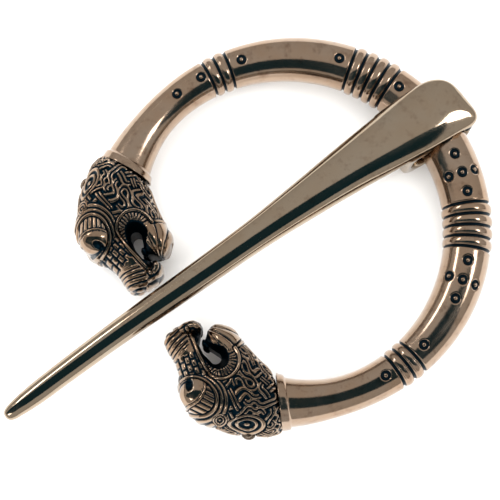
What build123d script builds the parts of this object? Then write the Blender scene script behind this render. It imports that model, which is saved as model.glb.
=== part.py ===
from build123d import *

import math
import os

import numpy as np

# Open-ring (penannular) brooch in cast bronze: a tapered hoop that ends in two beast heads,
# and a long pin whose broad end is wrapped round the hoop.
# Millimetres, +Z up. The brooch lies flat on the plane Z = 0, and the origin is the centre of the
# hoop's circle on that plane. Angles are in degrees, counter-clockwise from +X.

os.makedirs("parts", exist_ok=True)

# Hoop: radius of its centre line, and its bar's radius at four places
ring_radius = 28.6
bar_middle_radius = 4.1
bar_shoulder_radius = 3.65
bar_waist_radius = 3.0
bar_neck_radius = 3.95

# Directions from the hoop's centre
middle_angle = 33.6
head_half_span = 125.1
shoulder_half_span = 58.0
waist_half_span = 101.0

# Collars between the bar and the heads
collar_radius = 4.6
collar_width = 1.5
collar_rounding = 0.45

# Turned bands: groups of grooves with rounded ridges between them
groove_pitch = 1.82
groove_width = 0.5
groove_depth = 0.35
ridge_rise = 0.16
ridge_rounding = 0.3
band_groups = [
    # direction, grooves
    (115.0, 3),
    (62.6, 5),
    (-0.7, 5),
    (-51.8, 3),
]

# Ring-and-dot punch marks on the bar's top
punch_radius = 0.78
punch_dot_radius = 0.36
punch_depth = 0.3
cross_reach_along = 3.25
cross_reach_across = 2.25
single_punches = [131.1, 121.4, 106.8, 74.1, 52.2, -43.7, -59.3]
cross_punches = [16.6, -19.2]

# Beast heads: length of the profile, half thickness of the skull, half thickness of the snout,
# the neck's radius and how steeply it widens behind the collar, and how softly the masses meet
head_length = 20.0
head_half_thickness = 6.2
snout_half_thickness = 3.9
neck_radius = 4.1
neck_slope = 1.5
mass_blend = 1.1
ball_blend = 0.5

# Raised work on the heads, and the net of facets that carries it
relief_height = 0.42
strand_width = 1.25
ridge_half_width = 0.55
facet_size = 0.95
facet_depth = 1.4

# Pin: direction from tip to head, distance of its axis from the hoop's centre, and its size
pin_direction = 36.5
pin_offset = 1.38
pin_reach = 82.9
pin_end_reach = 6.4
pin_head_width = 10.4
pin_thickness = 3.4
pin_upper_corner_radius = 5.5
pin_lower_corner_radius = 2.8
pin_crest_radius = 4.0
pin_rest_gap = 0.12

# Loop that wraps the bar: running clearance, extra play below and inside, and its strap
loop_clearance = 0.25
loop_play_below = 0.4
loop_play_inside = 1.3
strap_wall = 1.7
strap_inner_wall = 1.9
strap_bottom_share = 0.9
strap_rounding = 3.6
bore_rounding_share = 0.85

# The pin's sections from the tip to the bar: width and how far aside as shares of the head's width,
# thickness as a share of the head's, and the sides' height as a share of the section's thickness
pin_sections = [
    # way from tip to bar, width, thickness, sides, aside
    (0.0, 0.16, 0.28, 0.35, -0.030),
    (0.010, 0.235, 0.42, 0.35, -0.030),
    (0.030, 0.29, 0.54, 0.35, -0.025),
    (0.065, 0.34, 0.62, 0.35, -0.018),
    (0.13, 0.365, 0.69, 0.33, -0.005),
    (0.25, 0.395, 0.75, 0.30, 0.010),
    (0.45, 0.455, 0.83, 0.27, 0.0),
    (0.60, 0.53, 0.88, 0.24, 0.0),
    (0.70, 0.64, 0.94, 0.22, 0.0),
    (0.80, 0.77, 1.0, 0.22, -0.005),
    (0.90, 0.90, 1.0, 0.28, -0.030),
    (1.0, 0.99, 0.92, 0.36, -0.065),
]
# The same shares at the head's end
pin_end_section = (1.0, 0.64, 0.40, -0.100)

# Rounds of the skull and snout. Columns are hundredths of the head's length: forward, outward,
# radius in profile; the last column is the half thickness as a share of the skull's.
skull_rounds = [
    # forward, outward, radius, thickness
    (7.5, 0.0, 21.5, 0.67),
    (17.0, 1.0, 24.4, 0.82),
    (38.5, 1.2, 23.2, 0.91),
    (59.5, -3.0, 21.8, 0.87),
    (72.5, -9.5, 12.0, 0.73),
]
snout_rounds = [
    # forward, outward, radius, share of the snout's half thickness
    (71.5, -32.0, 16.5, 1.04),
    (83.0, -43.0, 12.7, 0.95),
]
jaw_rounds = [
    # forward, outward, radius, thickness
    (21.0, -4.6, 18.5, 0.77),
    (44.0, -23.4, 19.2, 0.86),
    (54.0, -40.5, 16.7, 0.75),
    (57.0, -51.5, 6.5, 0.60),
]
# Balls that stand out of the masses, in hundredths of the head's length
head_balls = [
    # forward, outward, across, radius in profile, half thickness
    (71.0, -2.3, 17.5, 11.7, 12.0),
    (29.5, 23.5, 0.0, 5.0, 5.0),
    (91.0, -44.5, 8.0, 5.7, 7.5),
    (80.0, -53.0, 9.0, 4.6, 5.5),
    (76.0, -53.5, 9.0, 4.6, 4.5),
]
# The open mouth, a slot that goes right through: hundredths of the head's length
mouth_rounds = [
    # forward, outward, radius, widening towards each side
    (57.5, -31.5, 4.6, 0.45),
    (64.5, -37.0, 3.8, 0.25),
    (69.5, -43.5, 3.2, 0.10),
    (69.5, -54.0, 2.9, 0.0),
    (67.0, -70.0, 2.9, 0.0),
]
mouth_flare_from = 13.0

# Lines of the raised work on each side of a head, in hundredths of the head's length: forward, outward
lip_line = [(43.0, -39.0), (39.5, -32.0), (39.5, -24.5), (43.5, -18.0), (50.5, -14.7), (58.0, -15.0),
            (63.5, -20.5), (67.5, -27.5), (72.0, -36.5), (76.5, -45.5), (80.5, -54.0)]
jaw_root_line = [(43.0, -38.5), (39.5, -42.5), (37.0, -47.0), (35.5, -54.0), (36.0, -62.0)]
lid_line = [(82.0, 11.0), (73.0, 7.5), (68.0, 1.0), (68.0, -8.0), (73.0, -15.5)]
strand_lines = [
    # closed, points
    (True, [(50.0, -5.0), (45.0, 0.0), (38.0, -6.0), (32.0, -14.0), (27.0, -22.0), (26.0, -28.0),
            (30.5, -31.0), (35.0, -23.0)]),
    (True, [(32.0, -24.5), (24.5, -27.5), (16.0, -23.0), (9.5, -16.0), (7.5, -8.0), (13.5, -6.0),
            (22.0, -11.0), (29.0, -16.5)]),
    (True, [(42.0, 6.0), (34.0, 3.0), (26.0, -1.0), (17.5, -4.5), (9.5, -4.5), (7.5, 2.5),
            (13.0, 7.0), (21.0, 3.5), (29.0, 5.5), (36.0, 8.5)]),
    (False, [(5.0, -22.5), (13.0, -25.0), (21.0, -33.0), (28.0, -42.0), (34.5, -48.0)]),
    (False, [(4.5, 13.0), (11.0, 9.5), (16.5, 13.0), (15.0, 19.5), (8.0, 23.0)]),
]
# Ovals in hundredths of the head's length: the ear, and the sunk pit in the eye
ear_oval = (32.5, 19.5, 13.0, 5.5)
eye_pit = (76.5, -8.0, 4.0, 6.5)
# The domed eye: forward, outward, radius
eye_round = (71.0, -0.5, 14.5)
eye_pit_depth = 2.0
# Petals of the lower jaw: where they meet, the angle of one, and the angles between which they lie
petal_focus = (66.0, -57.0)
petal_angle = 16.0
petal_limits = (-14.0, 62.0)


def on_ring(angle, radius=ring_radius):
    """Point of the hoop's middle plane at an angle."""
    return Vector(radius * math.cos(math.radians(angle)), radius * math.sin(math.radians(angle)), 0)


def cross_plane(angle):
    """Plane across the bar: local Z runs along the bar, local X points outwards."""
    outward = on_ring(angle, 1.0)
    return Plane(origin=on_ring(angle), x_dir=outward, z_dir=Vector(-outward.Y, outward.X, 0))


def bar_radius(angle):
    """The bar's radius at an angle, a smooth curve through the four named radii."""
    span = abs((angle - middle_angle + 180) % 360 - 180)
    spans = [0, shoulder_half_span, waist_half_span, neck_half_span]
    radii = [bar_middle_radius, bar_shoulder_radius, bar_waist_radius, bar_neck_radius]
    for k in range(3):
        if span <= spans[k + 1]:
            share = (span - spans[k]) / (spans[k + 1] - spans[k])
            if k == 0:
                share = share ** 2
            elif k == 1:
                share = math.sin(share * math.pi / 2)
            else:
                share = share ** 2
            return radii[k] + (radii[k + 1] - radii[k]) * share
    return bar_neck_radius


neck_half_span = head_half_span - math.degrees(collar_width / 2 / ring_radius)

# Heights over the hoop's middle plane, and the height of that plane over the resting plane
loop_radius = bar_middle_radius + loop_clearance
loop_bottom = loop_radius + loop_play_below + strap_wall
mid_height = loop_bottom
pin_underside = snout_half_thickness + relief_height + pin_rest_gap


def build_bar():
    """The tapered bar, from one collar round to the other."""
    steps = 14
    angles = [middle_angle - neck_half_span + 2 * neck_half_span * k / steps for k in range(steps + 1)]
    sections = [cross_plane(a) * Circle(bar_radius(a)) for a in angles]
    return loft(sections)


def ring_disc(angle, radius, width, rounding=0.0):
    """A disc across the bar, centred on it."""
    disc = Cylinder(radius, width)
    if rounding:
        disc = fillet(disc.edges().filter_by(GeomType.CIRCLE), min(rounding, 0.45 * width))
    return cross_plane(angle) * disc


def cut_bands(bar):
    """Cuts the grooves of each band group and sets a rounded ridge between two grooves."""
    pitch = math.degrees(groove_pitch / ring_radius)
    grooves = []
    ridges = []
    for centre, count in band_groups:
        for k in range(count):
            angle = centre + (k - (count - 1) / 2) * pitch
            radius = bar_radius(angle)
            ring = Cylinder(radius + ridge_rise + 1.0, groove_width)
            ring -= Cylinder(radius - groove_depth, groove_width)
            grooves.append(cross_plane(angle) * ring)
        for k in range(count - 1):
            angle = centre + (k + 1 - count / 2) * pitch
            ridges.append(ring_disc(angle, bar_radius(angle) + ridge_rise,
                                    groove_pitch - groove_width, ridge_rounding))
    return (bar - grooves) + ridges


def punch_places():
    """Direction and distance across of each punch mark."""
    places = [(angle, 0.0) for angle in single_punches]
    along = math.degrees(cross_reach_along / ring_radius)
    for centre in cross_punches:
        places += [(centre, 0.0), (centre + along, 0.0), (centre - along, 0.0)]
        places += [(centre, cross_reach_across), (centre, -cross_reach_across)]
    return places


def build_punches():
    """Ring-shaped cutters, each square to the bar's round top."""
    cutters = []
    for angle, across in punch_places():
        radius = bar_radius(angle)
        tilt = math.asin(across / radius)
        place = on_ring(angle, ring_radius + across) + Vector(0, 0, radius * math.cos(tilt))
        outward = on_ring(angle, 1.0)
        normal = outward * math.sin(tilt) + Vector(0, 0, math.cos(tilt))
        ring = Cylinder(punch_radius, 2 * punch_depth) - Cylinder(punch_dot_radius, 2 * punch_depth)
        cutters.append(Plane(origin=place, x_dir=(-outward.Y, outward.X, 0), z_dir=normal) * ring)
    return cutters


def smooth_union(a, b, blend):
    """Union of two distance fields with a fillet of about the blend's size."""
    share = np.clip(0.5 + 0.5 * (b - a) / blend, 0.0, 1.0)
    return b * (1 - share) + a * share - blend * share * (1 - share)


def chain_field(f, d, z, rounds):
    """Distance field of a row of rounds, each with its own half thickness."""
    best = None
    for (f1, d1, r1, t1), (f2, d2, r2, t2) in zip(rounds, rounds[1:]):
        run_f = f2 - f1
        run_d = d2 - d1
        share = ((f - f1) * run_f + (d - d1) * run_d) / (run_f ** 2 + run_d ** 2)
        share = np.clip(share, 0.0, 1.0)
        radius = r1 + share * (r2 - r1)
        flat = radius / (t1 + share * (t2 - t1))
        from_axis = (f - f1 - share * run_f) ** 2 + (d - d1 - share * run_d) ** 2
        field = np.sqrt(from_axis + (z * flat) ** 2) - radius
        best = field if best is None else smooth_union(best, field, mass_blend / 2)
    return best


def mouth_field(f, d, z):
    """Distance field of the slot between the jaws, wider towards each side of the head."""
    unit = head_length / 100
    best = np.full(np.shape(f), 1e3)
    out = np.clip(np.abs(z) - mouth_flare_from * unit, 0, None)
    for (f1, d1, r1, k1), (f2, d2, r2, k2) in zip(mouth_rounds, mouth_rounds[1:]):
        run_f = f2 - f1
        run_d = d2 - d1
        share = ((f / unit - f1) * run_f + (d / unit - d1) * run_d) / (run_f ** 2 + run_d ** 2)
        share = np.clip(share, 0.0, 1.0)
        gap = np.hypot(f / unit - f1 - share * run_f, d / unit - d1 - share * run_d) * unit
        best = np.minimum(best, gap - (r1 + share * (r2 - r1)) * unit - (k1 + share * (k2 - k1)) * out)
    return best


def smooth_line(points, closed):
    """Points along a smooth curve through a few given ones, in millimetres."""
    given = np.array(points, float) * head_length / 100
    count = len(given)
    line = []
    for k in range(count if closed else count - 1):
        b = given[k]
        c = given[(k + 1) % count]
        a = given[k - 1] if closed or k > 0 else 2 * b - c
        e = given[(k + 2) % count] if closed or k + 2 < count else 2 * c - b
        for t in np.linspace(0, 1, 10, endpoint=False):
            line.append(0.5 * (2 * b + (c - a) * t + (2 * a - 5 * b + 4 * c - e) * t ** 2
                               + (3 * b - a - 3 * c + e) * t ** 3))
    if not closed:
        line.append(given[-1])
    return np.array(line)


def near_line(f, d, line):
    """Distance to a line and side of it, for points of the profile."""
    gap = np.hypot(f[..., None] - line[:, 0], d[..., None] - line[:, 1])
    nearest = gap.argmin(-1)
    heading = np.gradient(line, axis=0)[nearest]
    side = heading[..., 0] * (d - line[nearest, 1]) - heading[..., 1] * (f - line[nearest, 0])
    return gap.min(-1), side


def ridge(gap, half_width):
    """Rounded rise across a line, 0 to 1."""
    return np.clip(1 - (gap / half_width) ** 2, 0, 1)


def oval(f, d, row):
    """Distance from an oval's middle as a share of its size, in the profile."""
    unit = head_length / 100
    return np.hypot((f / unit - row[0]) / row[2], (d / unit - row[1]) / row[3])


def relief(f, d):
    """Height of the raised work over the sunk ground, at points of the profile."""
    unit = head_length / 100
    height = np.zeros(np.shape(f))
    for closed, points in strand_lines:
        gap = near_line(f, d, smooth_line(points, closed))[0]
        height = np.maximum(height, ridge(gap, strand_width / 2) ** 0.5)
    root_gap, root_side = near_line(f, d, smooth_line(jaw_root_line, False))
    focus_f, focus_d = petal_focus
    fan = np.degrees(np.arctan2(d - focus_d * unit, focus_f * unit - f))
    on_jaw = (root_side > 0) & (fan > petal_limits[0]) & (fan < petal_limits[1]) & (f < focus_f * unit)
    height = np.where(on_jaw, np.abs(np.cos(math.pi * fan / petal_angle)) ** 0.6, height)
    lip_gap = near_line(f, d, smooth_line(lip_line, False))[0]
    height = np.maximum(height, ridge(np.minimum(root_gap, lip_gap), ridge_half_width))
    eye_f, eye_d, eye_radius = eye_round
    from_eye = np.hypot(f - eye_f * unit, d - eye_d * unit)
    lid_gap, lid_side = near_line(f, d, smooth_line(lid_line, False))
    ball = np.where(lid_side > 0, 1 - eye_pit_depth * ridge(oval(f, d, eye_pit), 1.0), 0.5)
    ball = np.maximum(ball, ridge(lid_gap, ridge_half_width))
    height = np.where(from_eye < eye_radius * unit, ball, height)
    height = np.maximum(height, ridge(from_eye - eye_radius * unit, ridge_half_width))
    from_ear = oval(f, d, ear_oval)
    ear = np.maximum(ridge(from_ear - 1.0, 0.3), ridge(from_ear, 0.35))
    height = np.where(from_ear < 1.3, ear, height)
    return relief_height * height


def head_field(f, d, z):
    """Distance field of a beast head in its own frame: forward, outward, across."""
    unit = head_length / 100
    neck = [(-10 * unit, 0.0, neck_radius, neck_radius)]
    skull = [(a * unit, b * unit, r * unit, t * head_half_thickness) for a, b, r, t in skull_rounds]
    snout = [(a * unit, b * unit, r * unit, t * snout_half_thickness) for a, b, r, t in snout_rounds]
    jaw = [(a * unit, b * unit, r * unit, t * head_half_thickness) for a, b, r, t in jaw_rounds]
    masses = smooth_union(chain_field(f, d, z, neck + skull + snout), chain_field(f, d, z, jaw), mass_blend)
    for a, b, across, radius, half in head_balls:
        from_axis = (f - a * unit) ** 2 + (d - b * unit) ** 2
        flat = (np.abs(z) - across * unit) * radius / half
        masses = smooth_union(masses, np.sqrt(from_axis + flat ** 2) - radius * unit, ball_blend)
    raised = np.maximum(masses - relief(f, d), -mouth_field(f, d, z))
    cone = np.hypot(d, z) - neck_radius - neck_slope * (f - collar_width / 2)
    return np.maximum(raised, cone / math.hypot(1, neck_slope))


def pinched_cells():
    """Which of a cell's 256 patterns of solid corners would pinch the surface."""
    corners = [(i, j, k) for i in (0, 1) for j in (0, 1) for k in (0, 1)]
    pinched = np.zeros(256, bool)
    for code in range(256):
        solid = {c: code >> n & 1 for n, c in enumerate(corners)}
        for axis in range(3):
            for side in (0, 1):
                a, b, c, e = [solid[place] for place in corners if place[axis] == side]
                pinched[code] |= a == e and b == c and a != b
        for wanted in (0, 1):
            chosen = [c for n, c in enumerate(corners) if (code >> n & 1) == wanted]
            reached = chosen[:1]
            for a in reached:
                near = [c for c in chosen if sum(abs(p - q) for p, q in zip(a, c)) == 1]
                reached += [c for c in near if c not in reached]
            pinched[code] |= len(reached) < len(chosen)
    return pinched


def mend_pinches(field):
    """Changes the side of the shallowest corner of each pinched cell; after a few rounds only fills."""
    pinched = pinched_cells()
    size = [n - 1 for n in field.shape]
    corners = [(i, j, k) for i in (0, 1) for j in (0, 1) for k in (0, 1)]
    rounds = 0
    while True:
        code = np.zeros(size, int)
        for n, corner in enumerate(corners):
            part = field[tuple(slice(c, c + s) for c, s in zip(corner, size))]
            code += (part < 0) << n
        cells = np.argwhere(pinched[code])
        if len(cells) == 0:
            return field
        for cell in cells:
            places = [tuple(cell + np.array(corner)) for corner in corners]
            places = [place for place in places if field[place] >= 0 or rounds < 2]
            if places:
                shallowest = min(places, key=lambda place: abs(field[place]))
                field[shallowest] = -field[shallowest] - 1e-6
        rounds += 1


def head_facets():
    """Corners and triangles of the head's surface, on a net of even cells."""
    unit = head_length / 100
    f_line = np.arange(collar_width / 4 - facet_size, 106 * unit, facet_size)
    d_line = np.arange(-72 * unit, 36 * unit, facet_size)
    half = head_half_thickness + relief_height + facet_depth
    layers = math.ceil(half / facet_depth)
    z_line = (np.arange(-layers, layers) + 0.5) * facet_depth
    f, d, z = np.meshgrid(f_line, d_line, z_line, indexing="ij")
    flat_f, flat_d = np.meshgrid(f_line, d_line, indexing="ij")
    field = head_field(f, d, z)
    field[0] = np.abs(field[0]) + head_length
    field = mend_pinches(field)
    inside = field < 0
    corners = [(i, j, k) for i in (0, 1) for j in (0, 1) for k in (0, 1)]
    size = tuple(n - 1 for n in field.shape)
    total = np.zeros(size + (3,))
    hits = np.zeros(size)
    for a in corners:
        for axis in range(3):
            if a[axis] == 0:
                b = tuple(v + (n == axis) for n, v in enumerate(a))
                va = field[tuple(slice(v, v + s) for v, s in zip(a, size))]
                vb = field[tuple(slice(v, v + s) for v, s in zip(b, size))]
                cut = (va < 0) != (vb < 0)
                share = np.where(cut, va / np.where(va == vb, 1, va - vb), 0)
                for n in range(3):
                    total[..., n] += np.where(cut, a[n] + (share if n == axis else 0), 0)
                hits += cut
    used = hits > 0
    index = np.full(size, -1)
    index[used] = np.arange(used.sum())
    base = np.argwhere(used)
    place = base + total[used] / hits[used][:, None]
    points = np.stack([f_line[0] + place[:, 0] * facet_size,
                       d_line[0] + place[:, 1] * facet_size,
                       z_line[0] + place[:, 2] * facet_depth], 1)
    triangles = []
    for axis in range(3):
        u, v = [n for n in range(3) if n != axis]
        low = [slice(1, -1)] * 3
        low[axis] = slice(0, -1)
        high = [slice(1, -1)] * 3
        high[axis] = slice(1, None)
        a = inside[tuple(low)]
        b = inside[tuple(high)]
        for cell in np.argwhere(a != b):
            start = cell + np.array([0 if n == axis else 1 for n in range(3)])
            quad = []
            for du, dv in ((0, 0), (-1, 0), (-1, -1), (0, -1)):
                c = start.copy()
                c[u] += du
                c[v] += dv
                quad.append(index[tuple(c)])
            if a[tuple(cell)] == (axis == 1):
                quad.reverse()
            p, q, r, s = (points[n] for n in quad)
            if np.linalg.norm(p - r) <= np.linalg.norm(q - s):
                triangles += [(quad[0], quad[1], quad[2]), (quad[0], quad[2], quad[3])]
            else:
                triangles += [(quad[1], quad[2], quad[3]), (quad[1], quad[3], quad[0])]
    return points, triangles


def build_head(points, triangles, centre, forward, outward):
    """Places the faceted head: its origin in the collar, its profile in the hoop's plane."""
    placed = [centre + forward * float(f) + outward * float(d) + Vector(0, 0, float(z)) for f, d, z in points]
    turned = forward.cross(outward).Z > 0
    faces = []
    for a, b, c in triangles:
        ring = [placed[a], placed[c], placed[b]] if turned else [placed[a], placed[b], placed[c]]
        faces.append(Face(Wire.make_polygon(ring, close=True)))
    return Solid(Shell(faces))


def build_hoop(points, triangles):
    """One casting: bar, bands, punch marks, collars and both heads."""
    bar = cut_bands(build_bar()) - build_punches()
    ends = []
    for sign in (1, -1):
        angle = middle_angle + sign * head_half_span
        outward = on_ring(angle, 1.0)
        forward = Vector(-outward.Y, outward.X, 0) * sign
        ends.append(ring_disc(angle, collar_radius, collar_width, collar_rounding))
        ends.append(build_head(points, triangles, on_ring(angle), forward, outward))
    return bar.fuse(*ends)


def pin_plane(x):
    """Plane across the pin, x from the bar's centre: local X points sideways, local Y upwards."""
    along = Vector(math.cos(math.radians(pin_direction)), math.sin(math.radians(pin_direction)), 0)
    across = Vector(-along.Y, along.X, 0)
    from_centre = math.sqrt(ring_radius ** 2 - pin_offset ** 2)
    origin = along * (from_centre + x) + across * pin_offset
    return Plane(origin=origin, x_dir=across, z_dir=along)


def side_plane(across=0.0):
    """Plane seen from the pin's side: local X points from tip to head, local Y upwards."""
    middle = pin_plane(0)
    return Plane(origin=middle.origin + middle.x_dir * across, x_dir=middle.z_dir, z_dir=middle.x_dir * -1)


def pin_section(x, width_share, thickness_share, side_share, aside_share):
    """Cross-section of the pin: flat underside, low sides and a rounded top."""
    half = pin_head_width * width_share / 2
    thickness = pin_thickness * thickness_share
    side = side_share * thickness
    low = pin_underside
    left = Line((-half, low + side), (-half, low))
    bottom = Line((-half, low), (half, low))
    right = Line((half, low), (half, low + side))
    top = ThreePointArc((half, low + side), (0, low + thickness), (-half, low + side))
    return pin_plane(x) * Pos(pin_head_width * aside_share, 0) * make_face([left, bottom, right, top])


def build_loop():
    """The strap round the bar, before its bore is cut."""
    inner = loop_radius + loop_play_inside + strap_inner_wall
    height = pin_underside + loop_bottom
    profile = Pos((pin_end_reach - inner) / 2, (pin_underside - loop_bottom) / 2)
    profile *= RectangleRounded(pin_end_reach + inner, height, strap_rounding)
    upper = Pos((pin_end_reach - inner) / 2, pin_underside - height / 4)
    upper *= Rectangle(pin_end_reach + inner, height / 2)
    strap = extrude(side_plane() * (profile + upper), pin_head_width, both=True)
    half_top = pin_head_width * pin_sections[-1][1] / 2
    half_bottom = half_top * strap_bottom_share
    aside = pin_head_width * pin_sections[-1][4]
    outline = Polyline((aside - half_top, pin_underside), (aside + half_top, pin_underside),
                       (aside + half_bottom, -loop_bottom), (aside - half_bottom, -loop_bottom), close=True)
    return strap & extrude(pin_plane(0) * make_face(outline), 2 * inner, both=True)


def build_bore():
    """The bell-mouthed hole for the bar: it widens so that the curved bar clears it."""
    half = 0.6 * pin_head_width
    skew = math.tan(math.asin(pin_offset / ring_radius))
    sections = []
    for y in (-half, 0, half):
        bell = y ** 2 / (2 * ring_radius) + skew * abs(y)
        reach = loop_radius + bell
        length = 2 * reach + loop_play_inside
        height = 2 * reach + loop_play_below
        hole = Pos(-loop_play_inside / 2, -loop_play_below / 2)
        hole *= RectangleRounded(length, height, bore_rounding_share * reach)
        sections.append(side_plane(y) * hole)
    return loft(sections)


def build_pin():
    """One piece: shaft, broad head and the strap that wraps the bar."""
    sections = [pin_section(-pin_reach * (1 - way), *shares) for way, *shares in pin_sections]
    sections.append(pin_section(pin_end_reach, *pin_end_section))
    pin = loft(sections, ruled=True) + build_loop() - build_bore()
    corners = []
    aside = pin_head_width * pin_end_section[3]
    for side, radius in ((1, pin_upper_corner_radius), (-1, pin_lower_corner_radius)):
        place = Pos(pin_end_reach - radius, aside + side * (pin_head_width / 2 - radius))
        square = Pos(radius, side * radius) * Rectangle(2 * radius, 2 * radius)
        corners.append(place * (square - Circle(radius)))
    middle = pin_plane(0)
    flat = Plane(origin=middle.origin, x_dir=middle.z_dir, z_dir=(0, 0, 1))
    pin = pin - [extrude(flat * corner, 2 * loop_bottom, both=True) for corner in corners]
    crest = Pos(pin_end_reach - pin_crest_radius, pin_underside + pin_thickness - pin_crest_radius)
    crest *= Pos(pin_crest_radius, pin_crest_radius) * Rectangle(2 * pin_crest_radius, 2 * pin_crest_radius) \
        - Circle(pin_crest_radius)
    return pin - extrude(side_plane() * crest, pin_head_width, both=True)


def rest(shape):
    """Lifts a shape so that the brooch lies on the plane Z = 0."""
    return Pos(0, 0, mid_height) * shape


points, triangles = head_facets()
hoop = rest(build_hoop(points, triangles))
pin = rest(build_pin())
for name, shape in (("hoop", hoop), ("pin", pin)):
    export_step(shape, "parts/" + name + ".step")
    print(name, "volume", round(shape.volume, 1), "mm3, valid", shape.is_valid)
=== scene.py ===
"""Dresses the open-ring bronze brooch: cast hoop with beast heads, wrought pin, light and camera."""
from __future__ import annotations

import logging
import math
from collections.abc import Callable
from dataclasses import dataclass
from enum import Enum

import bpy
import numpy as np
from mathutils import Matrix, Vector

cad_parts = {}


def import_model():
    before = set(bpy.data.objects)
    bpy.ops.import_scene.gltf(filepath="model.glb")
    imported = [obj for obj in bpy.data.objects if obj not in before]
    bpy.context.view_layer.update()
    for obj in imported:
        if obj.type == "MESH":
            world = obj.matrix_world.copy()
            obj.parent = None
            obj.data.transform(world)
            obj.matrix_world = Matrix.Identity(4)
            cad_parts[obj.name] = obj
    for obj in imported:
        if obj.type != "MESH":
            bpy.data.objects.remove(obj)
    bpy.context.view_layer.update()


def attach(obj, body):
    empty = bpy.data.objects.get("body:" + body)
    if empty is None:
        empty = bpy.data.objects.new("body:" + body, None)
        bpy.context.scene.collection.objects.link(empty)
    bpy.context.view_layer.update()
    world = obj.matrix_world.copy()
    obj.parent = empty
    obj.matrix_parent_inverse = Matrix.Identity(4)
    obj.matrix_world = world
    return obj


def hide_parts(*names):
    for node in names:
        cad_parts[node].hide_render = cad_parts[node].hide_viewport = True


LOG = logging.getLogger("brooch")
MM = 0.001
# a distance field: takes x, y and z arrays and gives distances, negative inside
Field = Callable[..., np.ndarray]

# Named sizes in millimetres and angles in degrees, the same as the solids'
RING_RADIUS = 28.6
MIDDLE_ANGLE = 33.6
HEAD_HALF_SPAN = 125.1
COLLAR_RADIUS = 4.6
COLLAR_WIDTH = 1.5
MID_HEIGHT = 6.45
HEAD_LENGTH = 20.0
HEAD_HALF = 6.2
SNOUT_HALF = 3.9
PIN_DIRECTION = 36.5
PIN_OFFSET = 1.38
PIN_UNDERSIDE = 4.44
# the collars lean: their inner side lies further towards the head, as a slope
COLLAR_SLOPE = 0.21
# what the tables of a head count in
HUNDREDTH = HEAD_LENGTH / 100


class Arm(Enum):
    """The two ends of the open ring."""

    UPPER = 1
    LOWER = -1


class Metal(Enum):
    """The brooch's two lots of metal, by their material slot."""

    CAST = "cast_bronze"
    WROUGHT = "wrought_bronze"


def facing_out(angle: float) -> np.ndarray:
    """Direction away from the hoop's centre, from degrees counter-clockwise from +X."""
    turn = math.radians(angle)
    return np.array([math.cos(turn), math.sin(turn), 0.0])


def on_ring(angle: float) -> np.ndarray:
    """Point on the bar's axis at a direction in degrees."""
    return RING_RADIUS * facing_out(angle) + np.array([0.0, 0.0, MID_HEIGHT])


def ring_degrees(length: float) -> float:
    """Angle that a length along the ring takes up, in degrees."""
    return math.degrees(length / RING_RADIUS)


def collar_shift(outward: np.ndarray) -> np.ndarray:
    """How far a collar lies towards its head at a distance outward from the bar's axis."""
    return COLLAR_SLOPE * np.clip(COLLAR_RADIUS - outward, 0, 2 * COLLAR_RADIUS)


def smooth_table(x: np.ndarray, rows: list[tuple[float, ...]], column: int) -> np.ndarray:
    """Reads a column of a table with a smooth curve through its rows.

    Args:
        x: Where to read it, in the units of the first column.
        rows: The table, rising in its first column.
        column: The column to read.

    Returns:
        The values at x.
    """
    xs = np.array([row[0] for row in rows], float)
    ys = np.array([row[column] for row in rows], float)
    slope = np.gradient(ys, xs)
    k = np.clip(np.searchsorted(xs, x) - 1, 0, len(xs) - 2)
    width = xs[k + 1] - xs[k]
    t = np.clip((x - xs[k]) / width, 0, 1)
    a = ys[k] * (1 + 2 * t) * (1 - t) ** 2 + ys[k + 1] * t**2 * (3 - 2 * t)
    return a + width * (slope[k] * t * (1 - t) ** 2 + slope[k + 1] * t**2 * (t - 1))


def smooth_union(a: np.ndarray, b: np.ndarray, blend: float) -> np.ndarray:
    """Union of two distance fields with a fillet of about the blend's size."""
    share = np.clip(0.5 + 0.5 * (b - a) / blend, 0.0, 1.0)
    return b * (1 - share) + a * share - blend * share * (1 - share)


def smooth_cut(a: np.ndarray, b: np.ndarray, blend: float) -> np.ndarray:
    """Common part of two distance fields with a rounded edge."""
    return -smooth_union(-a, -b, blend)


def fill_pinches(values: np.ndarray, filling: float) -> None:
    """Fills the spots where a solid would touch itself along one edge of the net only.

    Args:
        values: The field at the net's corners, changed in place.
        filling: A value just inside the solid.
    """
    for u, v in ((0, 1), (1, 2), (0, 2), (0, 1)):
        views = {}
        for du, dv in np.ndindex(2, 2):
            part = [slice(None)] * 3
            part[u] = slice(du, values.shape[u] - 1 + du)
            part[v] = slice(dv, values.shape[v] - 1 + dv)
            views[du, dv] = values[tuple(part)]
        alike = (views[0, 0] < 0) == (views[1, 1] < 0)
        alike &= (views[0, 1] < 0) == (views[1, 0] < 0)
        crossed = alike & ((views[0, 0] < 0) != (views[0, 1] < 0))
        for view in views.values():
            view[crossed] = np.minimum(view[crossed], filling)


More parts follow.
